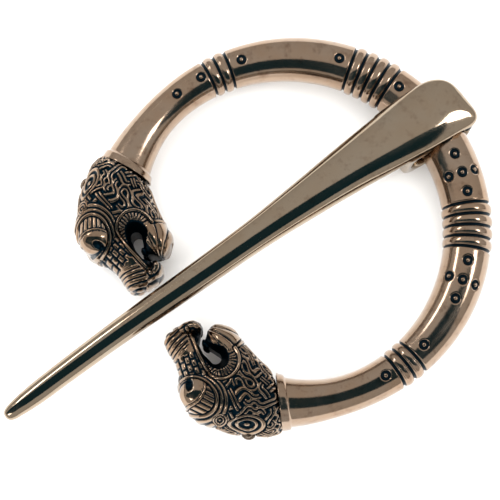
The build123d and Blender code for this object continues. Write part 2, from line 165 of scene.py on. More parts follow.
def surface_net(solid: Field, low: tuple, high: tuple, step: float) -> tuple[np.ndarray, np.ndarray]:
    """Meshes a distance field with a net of quads and draws its corners onto the surface.

    Args:
        solid: Function of x, y and z arrays that is negative inside.
        low: Lowest corner of the space to search.
        high: Highest corner.
        step: Size of a cell.

    Returns:
        The corners and the quads, which face outwards.
    """
    lines = [np.arange(a, b + step, step) for a, b in zip(low, high)]
    values = solid(*np.meshgrid(*lines, indexing="ij"))
    fill_pinches(values, -0.01 * step)
    size = tuple(n - 1 for n in values.shape)
    total = np.zeros(size + (3,))
    hits = np.zeros(size)
    for corner in np.ndindex(2, 2, 2):
        for axis in range(3):
            if corner[axis]:
                continue
            other = tuple(v + (n == axis) for n, v in enumerate(corner))
            a = values[tuple(slice(v, v + s) for v, s in zip(corner, size))]
            b = values[tuple(slice(v, v + s) for v, s in zip(other, size))]
            cut = (a < 0) != (b < 0)
            share = np.where(cut, a / np.where(cut, a - b, 1), 0)
            for n in range(3):
                total[..., n] += np.where(cut, corner[n] + (share if n == axis else 0), 0)
            hits += cut
    used = hits > 0
    index = np.full(size, -1)
    index[used] = np.arange(used.sum())
    place = np.argwhere(used) + total[used] / hits[used][:, None]
    points = np.array([line[0] for line in lines]) + place * step
    return settle(solid, points, step), net_quads(values < 0, index)


def net_quads(inside: np.ndarray, index: np.ndarray) -> np.ndarray:
    """Quads between the four cells round each edge of the grid that the surface crosses.

    Args:
        inside: Which corners of the grid lie inside the solid.
        index: Number of each cell's point.

    Returns:
        The quads, a row each.
    """
    quads = []
    for axis in range(3):
        u, v = [n for n in range(3) if n != axis]
        near = [slice(1, -1)] * 3
        far = [slice(1, -1)] * 3
        near[axis] = slice(0, -1)
        far[axis] = slice(1, None)
        a = inside[tuple(near)]
        cells = np.argwhere(a != inside[tuple(far)])
        start = cells + np.array([0 if n == axis else 1 for n in range(3)])
        ring = []
        for du, dv in ((0, 0), (-1, 0), (-1, -1), (0, -1)):
            c = start.copy()
            c[:, u] += du
            c[:, v] += dv
            ring.append(index[tuple(c.T)])
        ring = np.stack(ring, 1)
        flip = a[tuple(cells.T)] == (axis == 1)
        ring[flip] = ring[flip][:, ::-1]
        quads.append(ring)
    return np.concatenate(quads)


def settle(solid: Field, points: np.ndarray, step: float, passes: int = 2) -> np.ndarray:
    """Moves points onto the surface of a distance field, each by less than half a cell in a pass.

    Args:
        solid: The field.
        points: Points near its surface.
        step: Size of a cell.
        passes: How often to move them.

    Returns:
        The moved points.
    """
    least_slope, limit = 0.2, 0.4 * step
    for _ in range(passes):
        slope = gradient(solid, points)
        gap = solid(*points.T)
        move = gap[:, None] * slope / np.maximum((slope**2).sum(1), least_slope)[:, None]
        points = points - np.clip(move, -limit, limit)
    return points


def gradient(solid: Field, points: np.ndarray, reach: float = 0.02) -> np.ndarray:
    """Slope of a distance field at points, by differences.

    Args:
        solid: The field.
        points: Where to find it.
        reach: Distance of the two values that are compared.

    Returns:
        The slope along x, y and z, a row for each point.
    """
    slope = np.zeros_like(points)
    for axis in range(3):
        step = np.zeros(3)
        step[axis] = reach
        slope[:, axis] = (solid(*(points + step).T) - solid(*(points - step).T)) / (2 * reach)
    return slope


def unit_normals(solid: Field, points: np.ndarray) -> np.ndarray:
    """Directions in which a distance field's surface faces at points."""
    slope = gradient(solid, points)
    return slope / np.linalg.norm(slope, axis=1)[:, None]


def new_object(name: str, data: bpy.types.ID) -> bpy.types.Object:
    """Makes an object of a mesh, a lamp or a camera and links it to the scene."""
    thing = bpy.data.objects.new(name, data)
    bpy.context.scene.collection.objects.link(thing)
    return thing


def mesh_piece(
    name: str, points: np.ndarray, faces: np.ndarray, marks: dict[str, np.ndarray]
) -> bpy.types.Object:
    """Makes a smooth mesh object from corners in millimetres.

    Args:
        name: The piece's name.
        points: Corners, in millimetres.
        faces: Quads or triangles, one row each; a row may end in -1 where it is a triangle.
        marks: Values for each corner that the finish reads, by name.

    Returns:
        The object, at the origin.
    """
    mesh = bpy.data.meshes.new(name)
    mesh.from_pydata((points * MM).tolist(), [], [[i for i in face if i >= 0] for face in faces.tolist()])
    mesh.validate()
    mesh.polygons.foreach_set("use_smooth", np.ones(len(mesh.polygons), bool))
    for key, values in marks.items():
        mark = mesh.attributes.new(key, "FLOAT", "POINT")
        mark.data.foreach_set("value", values.astype(np.float32))
    mesh.update()
    LOG.info("%s: %d faces", name, len(mesh.polygons))
    return new_object(name, mesh)


# Materials

# Patterns of the finishes, each from its real size in millimetres
# clouds in the metal's tone, between pink and gold
CLOUDS = {"Scale": 1 / (5.882 * MM), "Detail": 3.0, "Roughness": 0.55}
# thin brown stains, where handling has toned the polish
STAINS = {"Scale": 1 / (1.923 * MM), "Detail": 6.0, "Roughness": 0.72}
# grains that break up the patina's edge
GRAINS = {"Scale": 1 / (0.6667 * MM), "Detail": 4.0, "Roughness": 0.65}
# faint smears in the polish
SMEARS = {"Scale": 1 / (1.6667 * MM), "Detail": 5.0, "Roughness": 0.7}
# fine pits and rubbing marks of work finished by hand
PITS = {"Scale": 1 / (1.1111 * MM), "Detail": 6.0, "Roughness": 0.6}


def linear(code: str) -> tuple[float, float, float, float]:
    """Turns an sRGB hex colour into a linear one.

    Args:
        code: The colour, such as #A6988A.

    Returns:
        Red, green, blue and a full alpha.
    """
    parts = [int(code[k : k + 2], 16) / 255 for k in (1, 3, 5)]
    turned = [p / 12.92 if p <= 0.04045 else ((p + 0.055) / 1.055) ** 2.4 for p in parts]
    return (turned[0], turned[1], turned[2], 1.0)


def add_node(
    tree: bpy.types.NodeTree, kind: str, settings: dict | None = None, links: dict | None = None
) -> bpy.types.Node:
    """Adds a node with its settings and the links into it.

    Args:
        tree: The node tree.
        kind: The node's type.
        settings: Properties by name, and socket values by their index or name.
        links: Output sockets by the input's index or name.

    Returns:
        The node.
    """
    node = tree.nodes.new(kind)
    for key, value in (settings or {}).items():
        if isinstance(key, str) and hasattr(node, key):
            setattr(node, key, value)
        else:
            node.inputs[key].default_value = value
    for key, output in (links or {}).items():
        tree.links.new(output, node.inputs[key])
    return node


@dataclass(frozen=True)
class Bronze:
    """Bronze with patina in its recesses and painted shade where a piece marks it, rubbed bright on its high
    places.
    """

    name: str
    bright: str
    warm: str
    patina_and_shade: str
    roughness: float
    patina_and_shade_roughness: float
    pit_depth: float
    stain: float
    stain_colour: str = "#6E5240"
    # from where to where a pattern's or a recess's value brings out the stains, or the patina and painted
    # shade
    stain_span: tuple[float, float] = (0.5, 0.72)
    patina_and_shade_span: tuple[float, float] = (0.2, 0.5)
    ragged_edge: float = 0.3
    # least and greatest roughness of the polish, as shares of its own
    polish_span: tuple[float, float] = (0.7, 1.4)
    pit_strength: float = 0.35

    def make(self) -> bpy.types.Material:
        """Builds the material.

        Returns:
            The material, which reads the corners' value "recess": 0 on high places, 1 in deep ones; where a
            piece marks painted shade in it, the dark colour paints that shade.
        """
        material = bpy.data.materials.new(self.name)
        material.use_nodes = True
        tree = material.node_tree
        tree.nodes.clear()
        out = add_node(tree, "ShaderNodeOutputMaterial")
        shader = add_node(tree, "ShaderNodeBsdfPrincipled", {"Metallic": 1.0})
        tree.links.new(shader.outputs[0], out.inputs[0])
        place = {"Vector": add_node(tree, "ShaderNodeTexCoord").outputs["Object"]}
        clouds, stains, grains, smears, pits = [
            add_node(tree, "ShaderNodeTexNoise", pattern, place).outputs["Fac"]
            for pattern in (CLOUDS, STAINS, GRAINS, SMEARS, PITS)
        ]
        cover = self.patina_and_shade_cover(tree, grains)
        # the bare metal's tone, then the stains on it, then the patina and painted shade over both
        tones = {"data_type": "RGBA", 6: linear(self.bright), 7: linear(self.warm)}
        tone = add_node(tree, "ShaderNodeMix", tones, {0: clouds})
        start, full = self.stain_span
        rise = {"interpolation_type": "SMOOTHSTEP", 1: start, 2: full, 4: self.stain}
        spread = add_node(tree, "ShaderNodeMapRange", rise, {0: stains})
        for colour, share in ((self.stain_colour, spread.outputs[0]), (self.patina_and_shade, cover)):
            layer = {"data_type": "RGBA", 7: linear(colour)}
            tone = add_node(tree, "ShaderNodeMix", layer, {0: share, 6: tone.outputs[2]})
        tree.links.new(tone.outputs[2], shader.inputs["Base Color"])
        # polished metal, dull where the patina and painted shade sit
        least, most = [self.roughness * share for share in self.polish_span]
        polish = add_node(tree, "ShaderNodeMapRange", {3: least, 4: most}, {0: smears})
        dull = {"data_type": "FLOAT", 3: self.patina_and_shade_roughness}
        rough = add_node(tree, "ShaderNodeMix", dull, {0: cover, 2: polish.outputs[0]})
        tree.links.new(rough.outputs[0], shader.inputs["Roughness"])
        relief = {"Strength": self.pit_strength, "Distance": self.pit_depth * MM}
        pitted = add_node(tree, "ShaderNodeBump", relief, {"Height": pits})
        tree.links.new(pitted.outputs[0], shader.inputs["Normal"])
        return material

    def patina_and_shade_cover(self, tree: bpy.types.NodeTree, grains: bpy.types.NodeSocket) -> bpy.types.NodeSocket:
        """Adds the nodes that say how far the patina and the painted shade cover the metal.

        Args:
            tree: The material's node tree.
            grains: The pattern that makes the patina's edge ragged.

        Returns:
            The socket that gives 0 for bare metal and 1 for full cover by the patina and the painted shade.
        """
        recess = add_node(tree, "ShaderNodeAttribute", {"attribute_name": "recess"}).outputs["Fac"]
        ragged = {"operation": "MULTIPLY_ADD", 1: self.ragged_edge, 2: -self.ragged_edge / 2}
        edge = add_node(tree, "ShaderNodeMath", ragged, {0: grains})
        depth = add_node(tree, "ShaderNodeMath", {"operation": "ADD"}, {0: recess, 1: edge.outputs[0]})
        start, full = self.patina_and_shade_span
        rise = {"interpolation_type": "SMOOTHSTEP", 1: start, 2: full}
        return add_node(tree, "ShaderNodeMapRange", rise, {0: depth.outputs[0]}).outputs[0]


# The beast heads

# rounds of a head's masses in hundredths of its length: forward, outward, radius; thickness as a share
SKULL = [(7.5, 0.0, 21.5, 0.67), (17.0, 1.0, 24.4, 0.82), (38.5, 1.2, 23.2, 0.91), (59.5, -3.0, 21.8, 0.87),
         (72.5, -9.5, 12.0, 0.73)]
SNOUT = [(71.5, -32.0, 16.5, 1.04), (83.0, -43.0, 12.7, 0.95)]
JAW = [(21.0, -4.6, 18.5, 0.77), (44.0, -23.4, 19.2, 0.86), (54.0, -40.5, 16.7, 0.75),
       (57.0, -51.5, 6.5, 0.60)]
# the curl at the snout's end
CURL = [(86.0, -50.0, 6.0, 0.80), (81.0, -54.3, 4.4, 0.84), (76.5, -56.4, 3.0, 0.84),
        (73.0, -55.6, 2.1, 0.80), (71.0, -53.0, 1.4, 0.70)]
# eye, knob, nose and the ball behind it: forward, outward, across, radius in profile, half thickness, blend
BALLS = [(71.0, -2.3, 17.5, 11.7, 12.0, 0.9), (29.5, 23.5, 0.0, 5.0, 5.0, 0.25),
         (91.0, -44.5, 8.0, 5.7, 7.5, 0.9), (74.5, -49.5, 8.0, 2.7, 3.4, 0.2)]
KNOB = BALLS[1]
# the ball between the jaws, in the same columns
BEAD = (64.0, -43.5, 12.0, 3.6, 4.0, 0.25)
# the mouth's slot: forward, outward, radius, widening
MOUTH = [(57.5, -31.5, 4.6, 0.45), (64.5, -37.0, 3.6, 0.25), (69.4, -43.5, 2.4, 0.10),
         (67.6, -50.0, 2.7, 0.0), (66.6, -58.0, 2.5, 0.0), (66.0, -70.0, 3.0, 0.0)]
# how far from the middle the slot begins to widen
MOUTH_INNER = 13.0
NECK_RADIUS = 4.1
NECK_SLOPE = 1.5
# fillets where masses meet, in millimetres
CHAIN_BLEND = 0.55
JAW_BLEND = 1.1
NECK_BLEND = 0.3
CURL_BLEND = 0.25

# Lines of the carved work in millimetres in a head's profile: forward, outward
LIP = [(8.6, -7.8), (7.9, -6.4), (7.9, -4.9), (8.7, -3.6), (10.1, -2.94), (11.6, -3.0), (12.7, -4.1),
       (13.5, -5.5), (14.4, -7.3), (15.3, -9.1), (16.1, -10.8)]
JAW_ROOT = [(8.6, -7.7), (7.9, -8.5), (7.4, -9.4), (7.1, -10.8), (7.2, -12.4)]
LID = [(17.0, 2.4), (15.4, 1.5), (13.9, 0.6), (13.0, -0.9), (13.0, -2.6)]
# the eye: forward, outward, half length, half width, and its length's direction in degrees; the pit in it
EYE = (14.2, -0.1, 3.45, 2.65, -28.0)
PIT = (15.2, -1.6, 0.6, 1.0)
# ears, ringed ovals: forward, outward, half length, half width
EARS = [(6.3, 3.75, 2.5, 1.15), (10.4, 3.2, 1.0, 0.75)]
# where the lower jaw's petals meet, one petal's angle and the fan's limits in degrees
PETALS = (13.2, -11.3, 21.0, -20.0, 64.0)
# snout: where its scales begin and the direction they run
SNOUT_START = (14.6, -2.6)
SNOUT_WAY = (0.34, -0.94)
# how far forward the mane ends, and where the snout's work begins under the eye and past it
FACE_LINE = 15.2
SNOUT_BACK = 11.5
# how far down the snout its plain tip and its folds begin, and the folds' slant and inner limit
TIP_DOWN = 4.2
FOLDS_DOWN = 5.0
FOLD_SLANT = 0.55
FOLD_SIDE = -0.9
# the part of the lip, in millimetres along it, that has teeth
TEETH_RUN = (0.05, 12.0)
MANE_REACH = 4.3
MANE_PITCH = 0.6
SCALE_WIDTH = 0.8
SCALE_LENGTH = 1.3
FOLD_PITCH = 0.82
TOOTH_PITCH = 0.64
CURL_RIB_PITCH = 0.56
EYE_RIB_PITCH = 0.72
# half the width of the lip's raised edge, with the ground beside it, and of a raised line
LIP_HALF = 0.42
LINE_HALF = 0.36
RIM_HALF = 0.3
# width of the grooves between strands, ribs and folds
CUT = 0.2
FOLD_CUT = 0.22
EYE_CUT = 0.17
# how far forward all of the eye is smooth, and where its rim ends
EYE_FRONT = 15.4
EYE_RIM_END = 16.6
# the fine line in the eye: where it begins, its distance from the eye's middle and its half width
EYE_LINE = (15.0, 2.05, 0.12)
# the ears' rings: distance from the middle as a share of the oval and half width, from the knob outwards
EAR_RINGS = [(0.0, 0.3), (0.62, 0.16), (1.05, 0.2)]
EAR_EDGE = 1.28
EAR_POINT = 0.35


def spline(points: list[tuple[float, float]], step: float = 0.12) -> np.ndarray:
    """Points along a smooth curve through a few given ones.

    Args:
        points: The given points.
        step: About how far apart the curve's points lie.

    Returns:
        The curve's points, a row each.
    """
    given = np.array(points, float)
    line = []
    for k in range(len(given) - 1):
        b, c = given[k], given[k + 1]
        a = given[k - 1] if k > 0 else 2 * b - c
        e = given[k + 2] if k + 2 < len(given) else 2 * c - b
        number = max(2, int(math.hypot(*(c - b)) / step))
        for t in np.arange(number) / number:
            square, cube = (2 * a - 5 * b + 4 * c - e) * t**2, (3 * b - a - 3 * c + e) * t**3
            line.append(0.5 * (2 * b + (c - a) * t + square + cube))
    line.append(given[-1])
    return np.array(line)


def near_line(f: np.ndarray, d: np.ndarray, line: np.ndarray, reach: float = 2.5) -> tuple:
    """Places points against a line of the profile.

    Args:
        f: Forward, in millimetres.
        d: Outward.
        line: The line's points.
        reach: Points further away than this are left out and count as far.

    Returns:
        Each point's distance to the line, the length along it, and its side, 1 or -1.
    """
    run = np.concatenate([[0], np.cumsum(np.hypot(*np.diff(line, axis=0).T))])
    heading = np.gradient(line, axis=0)
    gap = np.full(f.shape, 9.0)
    along = np.zeros(f.shape)
    side = np.ones(f.shape)
    low, high = line.min(0) - reach, line.max(0) + reach
    chosen = np.where((f > low[0]) & (f < high[0]) & (d > low[1]) & (d < high[1]))[0]
    # in parts, so that the table of distances stays small
    for part in np.array_split(chosen, max(1, len(chosen) // 20000)):
        space = np.hypot(f[part, None] - line[:, 0], d[part, None] - line[:, 1])
        k = space.argmin(1)
        gap[part] = space[np.arange(len(part)), k]
        along[part] = run[k]
        side[part] = np.sign(heading[k, 0] * (d[part] - line[k, 1]) - heading[k, 1] * (f[part] - line[k, 0]))
    return gap, along, side


def in_millimetres(rounds: list[tuple], half: float) -> list[tuple]:
    """Turns a mass's rounds into millimetres, with the half thickness that their shares are of."""
    return [(a * HUNDREDTH, b * HUNDREDTH, r * HUNDREDTH, t * half) for a, b, r, t in rounds]


def chain_field(f: np.ndarray, d: np.ndarray, z: np.ndarray, rounds: list[tuple]) -> np.ndarray:
    """Distance field of a row of rounds, each with its own half thickness.

    Args:
        f: Forward, in millimetres.
        d: Outward.
        z: Across the head.
        rounds: Forward, outward, radius and half thickness of each.

    Returns:
        The distances, negative inside.
    """
    best = None
    for (f1, d1, r1, t1), (f2, d2, r2, t2) in zip(rounds, rounds[1:]):
        run_f, run_d = f2 - f1, d2 - d1
        share = np.clip(((f - f1) * run_f + (d - d1) * run_d) / (run_f**2 + run_d**2), 0.0, 1.0)
        radius = r1 + share * (r2 - r1)
        flat = radius / (t1 + share * (t2 - t1))
        gap = (f - f1 - share * run_f) ** 2 + (d - d1 - share * run_d) ** 2
        value = np.sqrt(gap + (z * flat) ** 2) - radius
        best = value if best is None else smooth_union(best, value, CHAIN_BLEND)
    return best


def mouth_field(f: np.ndarray, d: np.ndarray, z: np.ndarray) -> np.ndarray:
    """Distance field of the slot between the jaws, which widens away from the head's middle.

    Args:
        f: Forward, in millimetres.
        d: Outward.
        z: Across the head.

    Returns:
        The distances, negative inside the slot.
    """
    best = np.full(np.shape(f), 1e3)
    out = np.clip(np.abs(z) - MOUTH_INNER * HUNDREDTH, 0, None)
    f, d = f / HUNDREDTH, d / HUNDREDTH
    for (f1, d1, r1, k1), (f2, d2, r2, k2) in zip(MOUTH, MOUTH[1:]):
        run_f, run_d = f2 - f1, d2 - d1
        share = np.clip(((f - f1) * run_f + (d - d1) * run_d) / (run_f**2 + run_d**2), 0.0, 1.0)
        gap = np.hypot(f - f1 - share * run_f, d - d1 - share * run_d)
        radius = r1 + share * (r2 - r1)
        best = np.minimum(best, (gap - radius) * HUNDREDTH - (k1 + share * (k2 - k1)) * out)
    return best


def ball_field(f: np.ndarray, d: np.ndarray, z: np.ndarray, row: tuple) -> np.ndarray:
    """Distance field of a pair of balls, one on each side of the head.

    Args:
        f: Forward, in millimetres.
        d: Outward.
        z: Across the head.
        row: A row of the balls' table.

    Returns:
        The distances, negative inside.
    """
    a, b, across, radius, half, _ = row
    flat = (np.abs(z) - across * HUNDREDTH) * radius / half
    return np.sqrt((f - a * HUNDREDTH) ** 2 + (d - b * HUNDREDTH) ** 2 + flat**2) - radius * HUNDREDTH


def head_field(f: np.ndarray, d: np.ndarray, z: np.ndarray) -> np.ndarray:
    """Distance field of a head without its raised work.

    Args:
        f: Forward, in millimetres.
        d: Outward.
        z: Across the head.

    Returns:
        The distances, negative inside.
    """
    neck = [(-10 * HUNDREDTH, 0.0, NECK_RADIUS, NECK_RADIUS)]
    upper = neck + in_millimetres(SKULL, HEAD_HALF) + in_millimetres(SNOUT, SNOUT_HALF)
    lower = in_millimetres(JAW, HEAD_HALF)
    masses = smooth_union(chain_field(f, d, z, upper), chain_field(f, d, z, lower), JAW_BLEND)
    for row in BALLS:
        masses = smooth_union(masses, ball_field(f, d, z, row), row[-1])
    past = f - collar_shift(d)
    # a cone from the collar keeps the neck slim
    cone = np.hypot(d, z) - NECK_RADIUS - NECK_SLOPE * (past - COLLAR_WIDTH / 2)
    masses = smooth_cut(masses, cone / math.hypot(1, NECK_SLOPE), NECK_BLEND)
    masses = np.maximum(np.maximum(masses, -mouth_field(f, d, z)), COLLAR_WIDTH / 4 - past)
    curl = chain_field(f, d, z, in_millimetres(CURL, SNOUT_HALF))
    masses = smooth_union(masses, curl, CURL_BLEND)
    return smooth_union(masses, ball_field(f, d, z, BEAD), BEAD[-1])


# the head's middle line: forward, outward, half height, half thickness
AXIS = [(0.0, 0.0, 4.3, 4.3), (4.0, 0.0, 5.0, 5.0), (8.0, -1.7, 6.3, 5.6), (12.0, -3.0, 7.2, 5.6),
        (16.0, -4.5, 7.6, 5.6)]


@dataclass(frozen=True)
class Knotwork:
    """Double strands that cross over and under on a slanted net wrapped round the head."""

    rows: int = 15
    strand: float = 0.35
    gap: float = 0.08
    # share of the cells without a crossing, and of those the share whose strands turn along the head
    open_share: float = 0.46
    along_share: float = 0.6
    # how far the strands swing from a straight run, in cells
    swing: float = 0.2
    # how far a strand sinks beside the one that crosses over it, and over which distance
    dip: float = 0.2
    dip_reach: float = 0.1
    # a strand's section: its rounded edge and its groove as shares of its half width, the groove's depth
    edge_share: float = 0.42
    groove_share: float = 0.26
    groove_depth: float = 0.8
    draws: int = 64
    seed: int = 5

    def net(self, f: np.ndarray, d: np.ndarray, z: np.ndarray) -> tuple[np.ndarray, np.ndarray]:
        """Places points on the net.

        Args:
            f: Forward, in millimetres.
            d: Outward.
            z: Across the head.

        Returns:
            Ways along and round the head, in widths of the net's cells.
        """
        line = np.linspace(AXIS[0][0], AXIS[-1][0], 200)
        tall = smooth_table(line, AXIS, 2)
        wide = smooth_table(line, AXIS, 3)
        half_round = math.pi * np.sqrt((tall**2 + wide**2) / 2)
        total = self.rows * math.sqrt(0.5)
        steps = np.diff(line) * total / half_round[1:]
        along = np.interp(f, line, np.concatenate([[0], np.cumsum(steps)]))
        middle = smooth_table(f, AXIS, 1)
        turn = np.arctan2(np.abs(z) / smooth_table(f, AXIS, 3), (d - middle) / smooth_table(f, AXIS, 2))
        across = turn / math.pi * total
        # the strands swing instead of running straight
        inside = self.swing * np.clip(np.sin(turn) * 2, 0, 1)
        swung = across + inside * np.sin(1.9 * along + 0.9 * across + 1.0)
        return along + inside * np.sin(1.6 * across - 0.8 * along), swung

    def height(self, f: np.ndarray, d: np.ndarray, z: np.ndarray) -> np.ndarray:
        """Height of the strands.

        Args:
            f: Forward, in millimetres.
            d: Outward.
            z: Across the head.

        Returns:
            Heights, 0 for the sunk ground and 1 for a strand's top.
        """
        along, across = self.net(f, d, z)
        a = (along + across) * math.sqrt(0.5)
        b = (along - across) * math.sqrt(0.5)
        i, j = np.round(a), np.round(b)
        p, q = a - i, b - j
        drawn = np.random.default_rng(self.seed).random((self.draws, self.draws))
        draw = drawn[i.astype(int) % self.draws, j.astype(int) % self.draws]
        # strands turn along the head at the net's edges, and across it next to the collar
        edge = (i - j <= 0) | (i - j >= self.rows)
        first = (i + j <= 2) & (i + j >= 1)
        level = np.where(edge, 0.0, np.where(first, self.open_share, draw))
        # most cells hold a crossing, some let the strands turn back along or across
        over_first = (i + j) % 2 == 0
        over = np.where(over_first, np.abs(q), np.abs(p))
        under = np.where(over_first, np.abs(p), np.abs(q))
        sunk = self.dip * (1 - np.clip((over - self.strand) / self.dip_reach, 0, 1))
        low = self.section(under) * (1 - sunk)
        out = np.where(over < self.strand + self.gap, self.section(over), low)
        # a turn is two arcs round opposite corners of its cell
        back_along = level < self.open_share * self.along_share
        back_across = ~back_along & (level <= self.open_share)
        for turns, side in ((back_along, -0.5), (back_across, 0.5)):
            arcs = [abs(np.hypot(p - s * 0.5, q - s * side) - 0.5) for s in (1, -1)]
            out = np.where(turns, self.section(np.minimum(*arcs)), out)
        return out

    def section(self, gap: np.ndarray) -> np.ndarray:
        """Section of a strand with one groove along its middle."""
        x = gap / self.strand
        groove = self.groove_depth * np.exp(-((x / self.groove_share) ** 2))
        return np.clip((1 - x) / self.edge_share, 0, 1) ** 0.6 * (1 - groove)


def bump(gap: np.ndarray, half: float) -> np.ndarray:
    """Rounded rise across a line, 0 to 1."""
    return np.clip(1 - (gap / half) ** 2, 0, 1)


def plates(way: np.ndarray, pitch: float, groove: float) -> np.ndarray:
    """Flat-topped rises with narrow grooves between them, 0 to 1."""
    off = np.abs((way / pitch) % 1.0 - 0.5)
    return np.clip((0.5 - off) * pitch / groove, 0, 1) ** 0.7


@dataclass(frozen=True)
class Spots:
    """Points of a head's profile and where they lie against its drawn lines."""

    f: np.ndarray
    d: np.ndarray
    lip: np.ndarray
    along: np.ndarray
    mouth: np.ndarray
    eye: np.ndarray

    @classmethod
    def find(cls, f: np.ndarray, d: np.ndarray) -> Spots:
        """Places points against the lip and the eye.

        Args:
            f: Forward, in millimetres.
            d: Outward.

        Returns:
            The points with their distance to the lip and the way along it, whether they lie on the mouth's
            side of it, and their distance to the eye's middle, stretched so that the rim is its half width.
        """
        lip, along, side = near_line(f, d, spline(LIP))
        turn = math.radians(EYE[4])
        eye_long = (f - EYE[0]) * math.cos(turn) + (d - EYE[1]) * math.sin(turn)
        eye_wide = (d - EYE[1]) * math.cos(turn) - (f - EYE[0]) * math.sin(turn)
        return cls(f, d, lip, along, side < 0, np.hypot(eye_long * EYE[3] / EYE[2], eye_wide))

    def teeth(self) -> np.ndarray:
        """Which points belong to the row of teeth inside the lip."""
        reach = np.interp(self.along, [0, 2, 9, 12], [0.7, 1.15, 1.1, 0.4])
        row = self.mouth & (self.lip > LIP_HALF) & (self.lip < LIP_HALF + reach)
        return row & (self.along > TEETH_RUN[0]) & (self.along < TEETH_RUN[1])


@dataclass(frozen=True)
class Carving:
    """The carved work of a head: how high each kind rises over the sunk ground, in millimetres."""

    strands: float = 0.4
    mane: float = 0.38
    scales: float = 0.42
    snout_tip: float = 0.36
    folds: float = 0.40
    jaws: tuple[float, float] = (0.3, 0.1)
    teeth: float = 0.38
    corner: float = 0.25
    petals: float = 0.55
    chin: float = 0.3
    curl: float = 0.4
    rims: float = 0.46
    lip: float = 0.50
    eye_ribs: float = 0.36
    eyeball: float = 0.42
    pit: float = 0.75
    ears: float = 0.44

    def height(self, f: np.ndarray, d: np.ndarray, z: np.ndarray) -> np.ndarray:
        """Height of the carved work on either side of a head, each kind laid over the ones before.

        Args:
            f: Forward, in millimetres.
            d: Outward.
            z: Across the head.

        Returns:
            Heights over the ground, in millimetres.
        """
        spots = Spots.find(f, d)
        out = self.strands * Knotwork().height(f, d, z)
        for carve in (self.carve_mane, self.carve_snout, self.carve_mouth, self.carve_jaw, self.carve_edges,
                      self.carve_eye, self.carve_ears):
            out = carve(spots, out)
        return out

    def carve_mane(self, spots: Spots, out: np.ndarray) -> np.ndarray:
        """Strands of the mane, round the back of the eye."""
        here = (spots.eye < MANE_REACH) & (spots.f < FACE_LINE)
        return np.where(here, self.mane * plates(spots.eye - EYE[3] - RIM_HALF, MANE_PITCH, CUT), out)

    def carve_snout(self, spots: Spots, out: np.ndarray) -> np.ndarray:
        """Scales of the snout, its plain tip and the nose's folds.

        Args:
            spots: The points.
            out: The height so far.

        Returns:
            The new height.
        """
        way_f, way_d = spots.f - SNOUT_START[0], spots.d - SNOUT_START[1]
        down = way_f * SNOUT_WAY[0] + way_d * SNOUT_WAY[1]
        over = -way_f * SNOUT_WAY[1] + way_d * SNOUT_WAY[0]
        here = ((down > 0) | (spots.f > FACE_LINE)) & (spots.f > SNOUT_BACK)
        here &= (spots.lip > LIP_HALF) & ~spots.mouth & (spots.eye > EYE[3])
        row = over / SCALE_WIDTH
        shift = 0.5 * (np.floor(row + 0.5) % 2)
        broad = bump((row + 0.5) % 1.0 - 0.5, 0.5) ** 0.7
        tall = bump((down / SCALE_LENGTH + shift) % 1.0 - 0.5, 0.5) ** 0.5
        out = np.where(here, self.scales * np.minimum(broad, tall), out)
        tip = here & (down > TIP_DOWN)
        slant = down + FOLD_SLANT * over
        out = np.where(tip, self.snout_tip, out)
        folded = tip & (slant > FOLDS_DOWN) & (over > FOLD_SIDE)
        return np.where(folded, self.folds * plates(slant, FOLD_PITCH, FOLD_CUT), out)

    def carve_mouth(self, spots: Spots, out: np.ndarray) -> np.ndarray:
        """Ground inside the lip with its row of teeth, and the plain end of the lip.

        Args:
            spots: The points.
            out: The height so far.

        Returns:
            The new height.
        """
        start, rest = self.jaws
        out = np.where(spots.mouth & (spots.lip < 2.4), np.where(spots.along < 1.4, start, rest), out)
        tooth = np.abs(np.sin(math.pi * spots.along / TOOTH_PITCH)) ** 0.6
        out = np.where(spots.teeth(), self.teeth * tooth, out)
        return np.where(spots.mouth & (spots.along > 11.0) & (spots.lip > LIP_HALF), self.corner, out)

    def carve_jaw(self, spots: Spots, out: np.ndarray) -> np.ndarray:
        """Bent petals of the lower jaw, which fan out from one point, and the plain chin.

        Args:
            spots: The points.
            out: The height so far.

        Returns:
            The new height.
        """
        fan_f, fan_d, petal, low, high = PETALS
        fan = np.degrees(np.arctan2(spots.d - fan_d, fan_f - spots.f))
        far = np.hypot(spots.d - fan_d, fan_f - spots.f)
        _, _, side = near_line(spots.f, spots.d, spline(JAW_ROOT))
        here = (side > 0) & (fan > low) & (fan < high) & ~spots.teeth() & (spots.lip > 0.5)
        here &= (spots.f > 6.6) & (spots.f < fan_f) & (spots.d < -6.0)
        bent = fan + 9 * np.sin(math.pi * np.clip(far / 7.5, 0, 1))
        lobe = bump((bent / petal) % 1.0 - 0.5, 0.5) ** 0.45
        out = np.where(here, self.petals * lobe * np.clip(far / 1.6, 0.35, 1), out)
        return np.where((spots.d < fan_d) & (spots.f > 8), self.chin, out)

    def carve_edges(self, spots: Spots, out: np.ndarray) -> np.ndarray:
        """Ribs along the curl at the snout's end, then the raised lines of the jaw's root and the lip.

        Args:
            spots: The points.
            out: The height so far.

        Returns:
            The new height.
        """
        curl = spline([(a * HUNDREDTH, b * HUNDREDTH) for a, b, _, _ in CURL])
        curl_gap, _, _ = near_line(spots.f, spots.d, curl)
        here = (curl_gap < 1.3) & (spots.d < -10.6) & (spots.f > 14.3)
        out = np.where(here, self.curl * plates(curl_gap + CURL_RIB_PITCH / 2, CURL_RIB_PITCH, CUT), out)
        root_gap, _, _ = near_line(spots.f, spots.d, spline(JAW_ROOT))
        out = np.where(root_gap < 0.5, self.rims * bump(root_gap, LINE_HALF), out)
        return np.where(spots.lip < LIP_HALF, self.lip * bump(spots.lip, LINE_HALF), out)

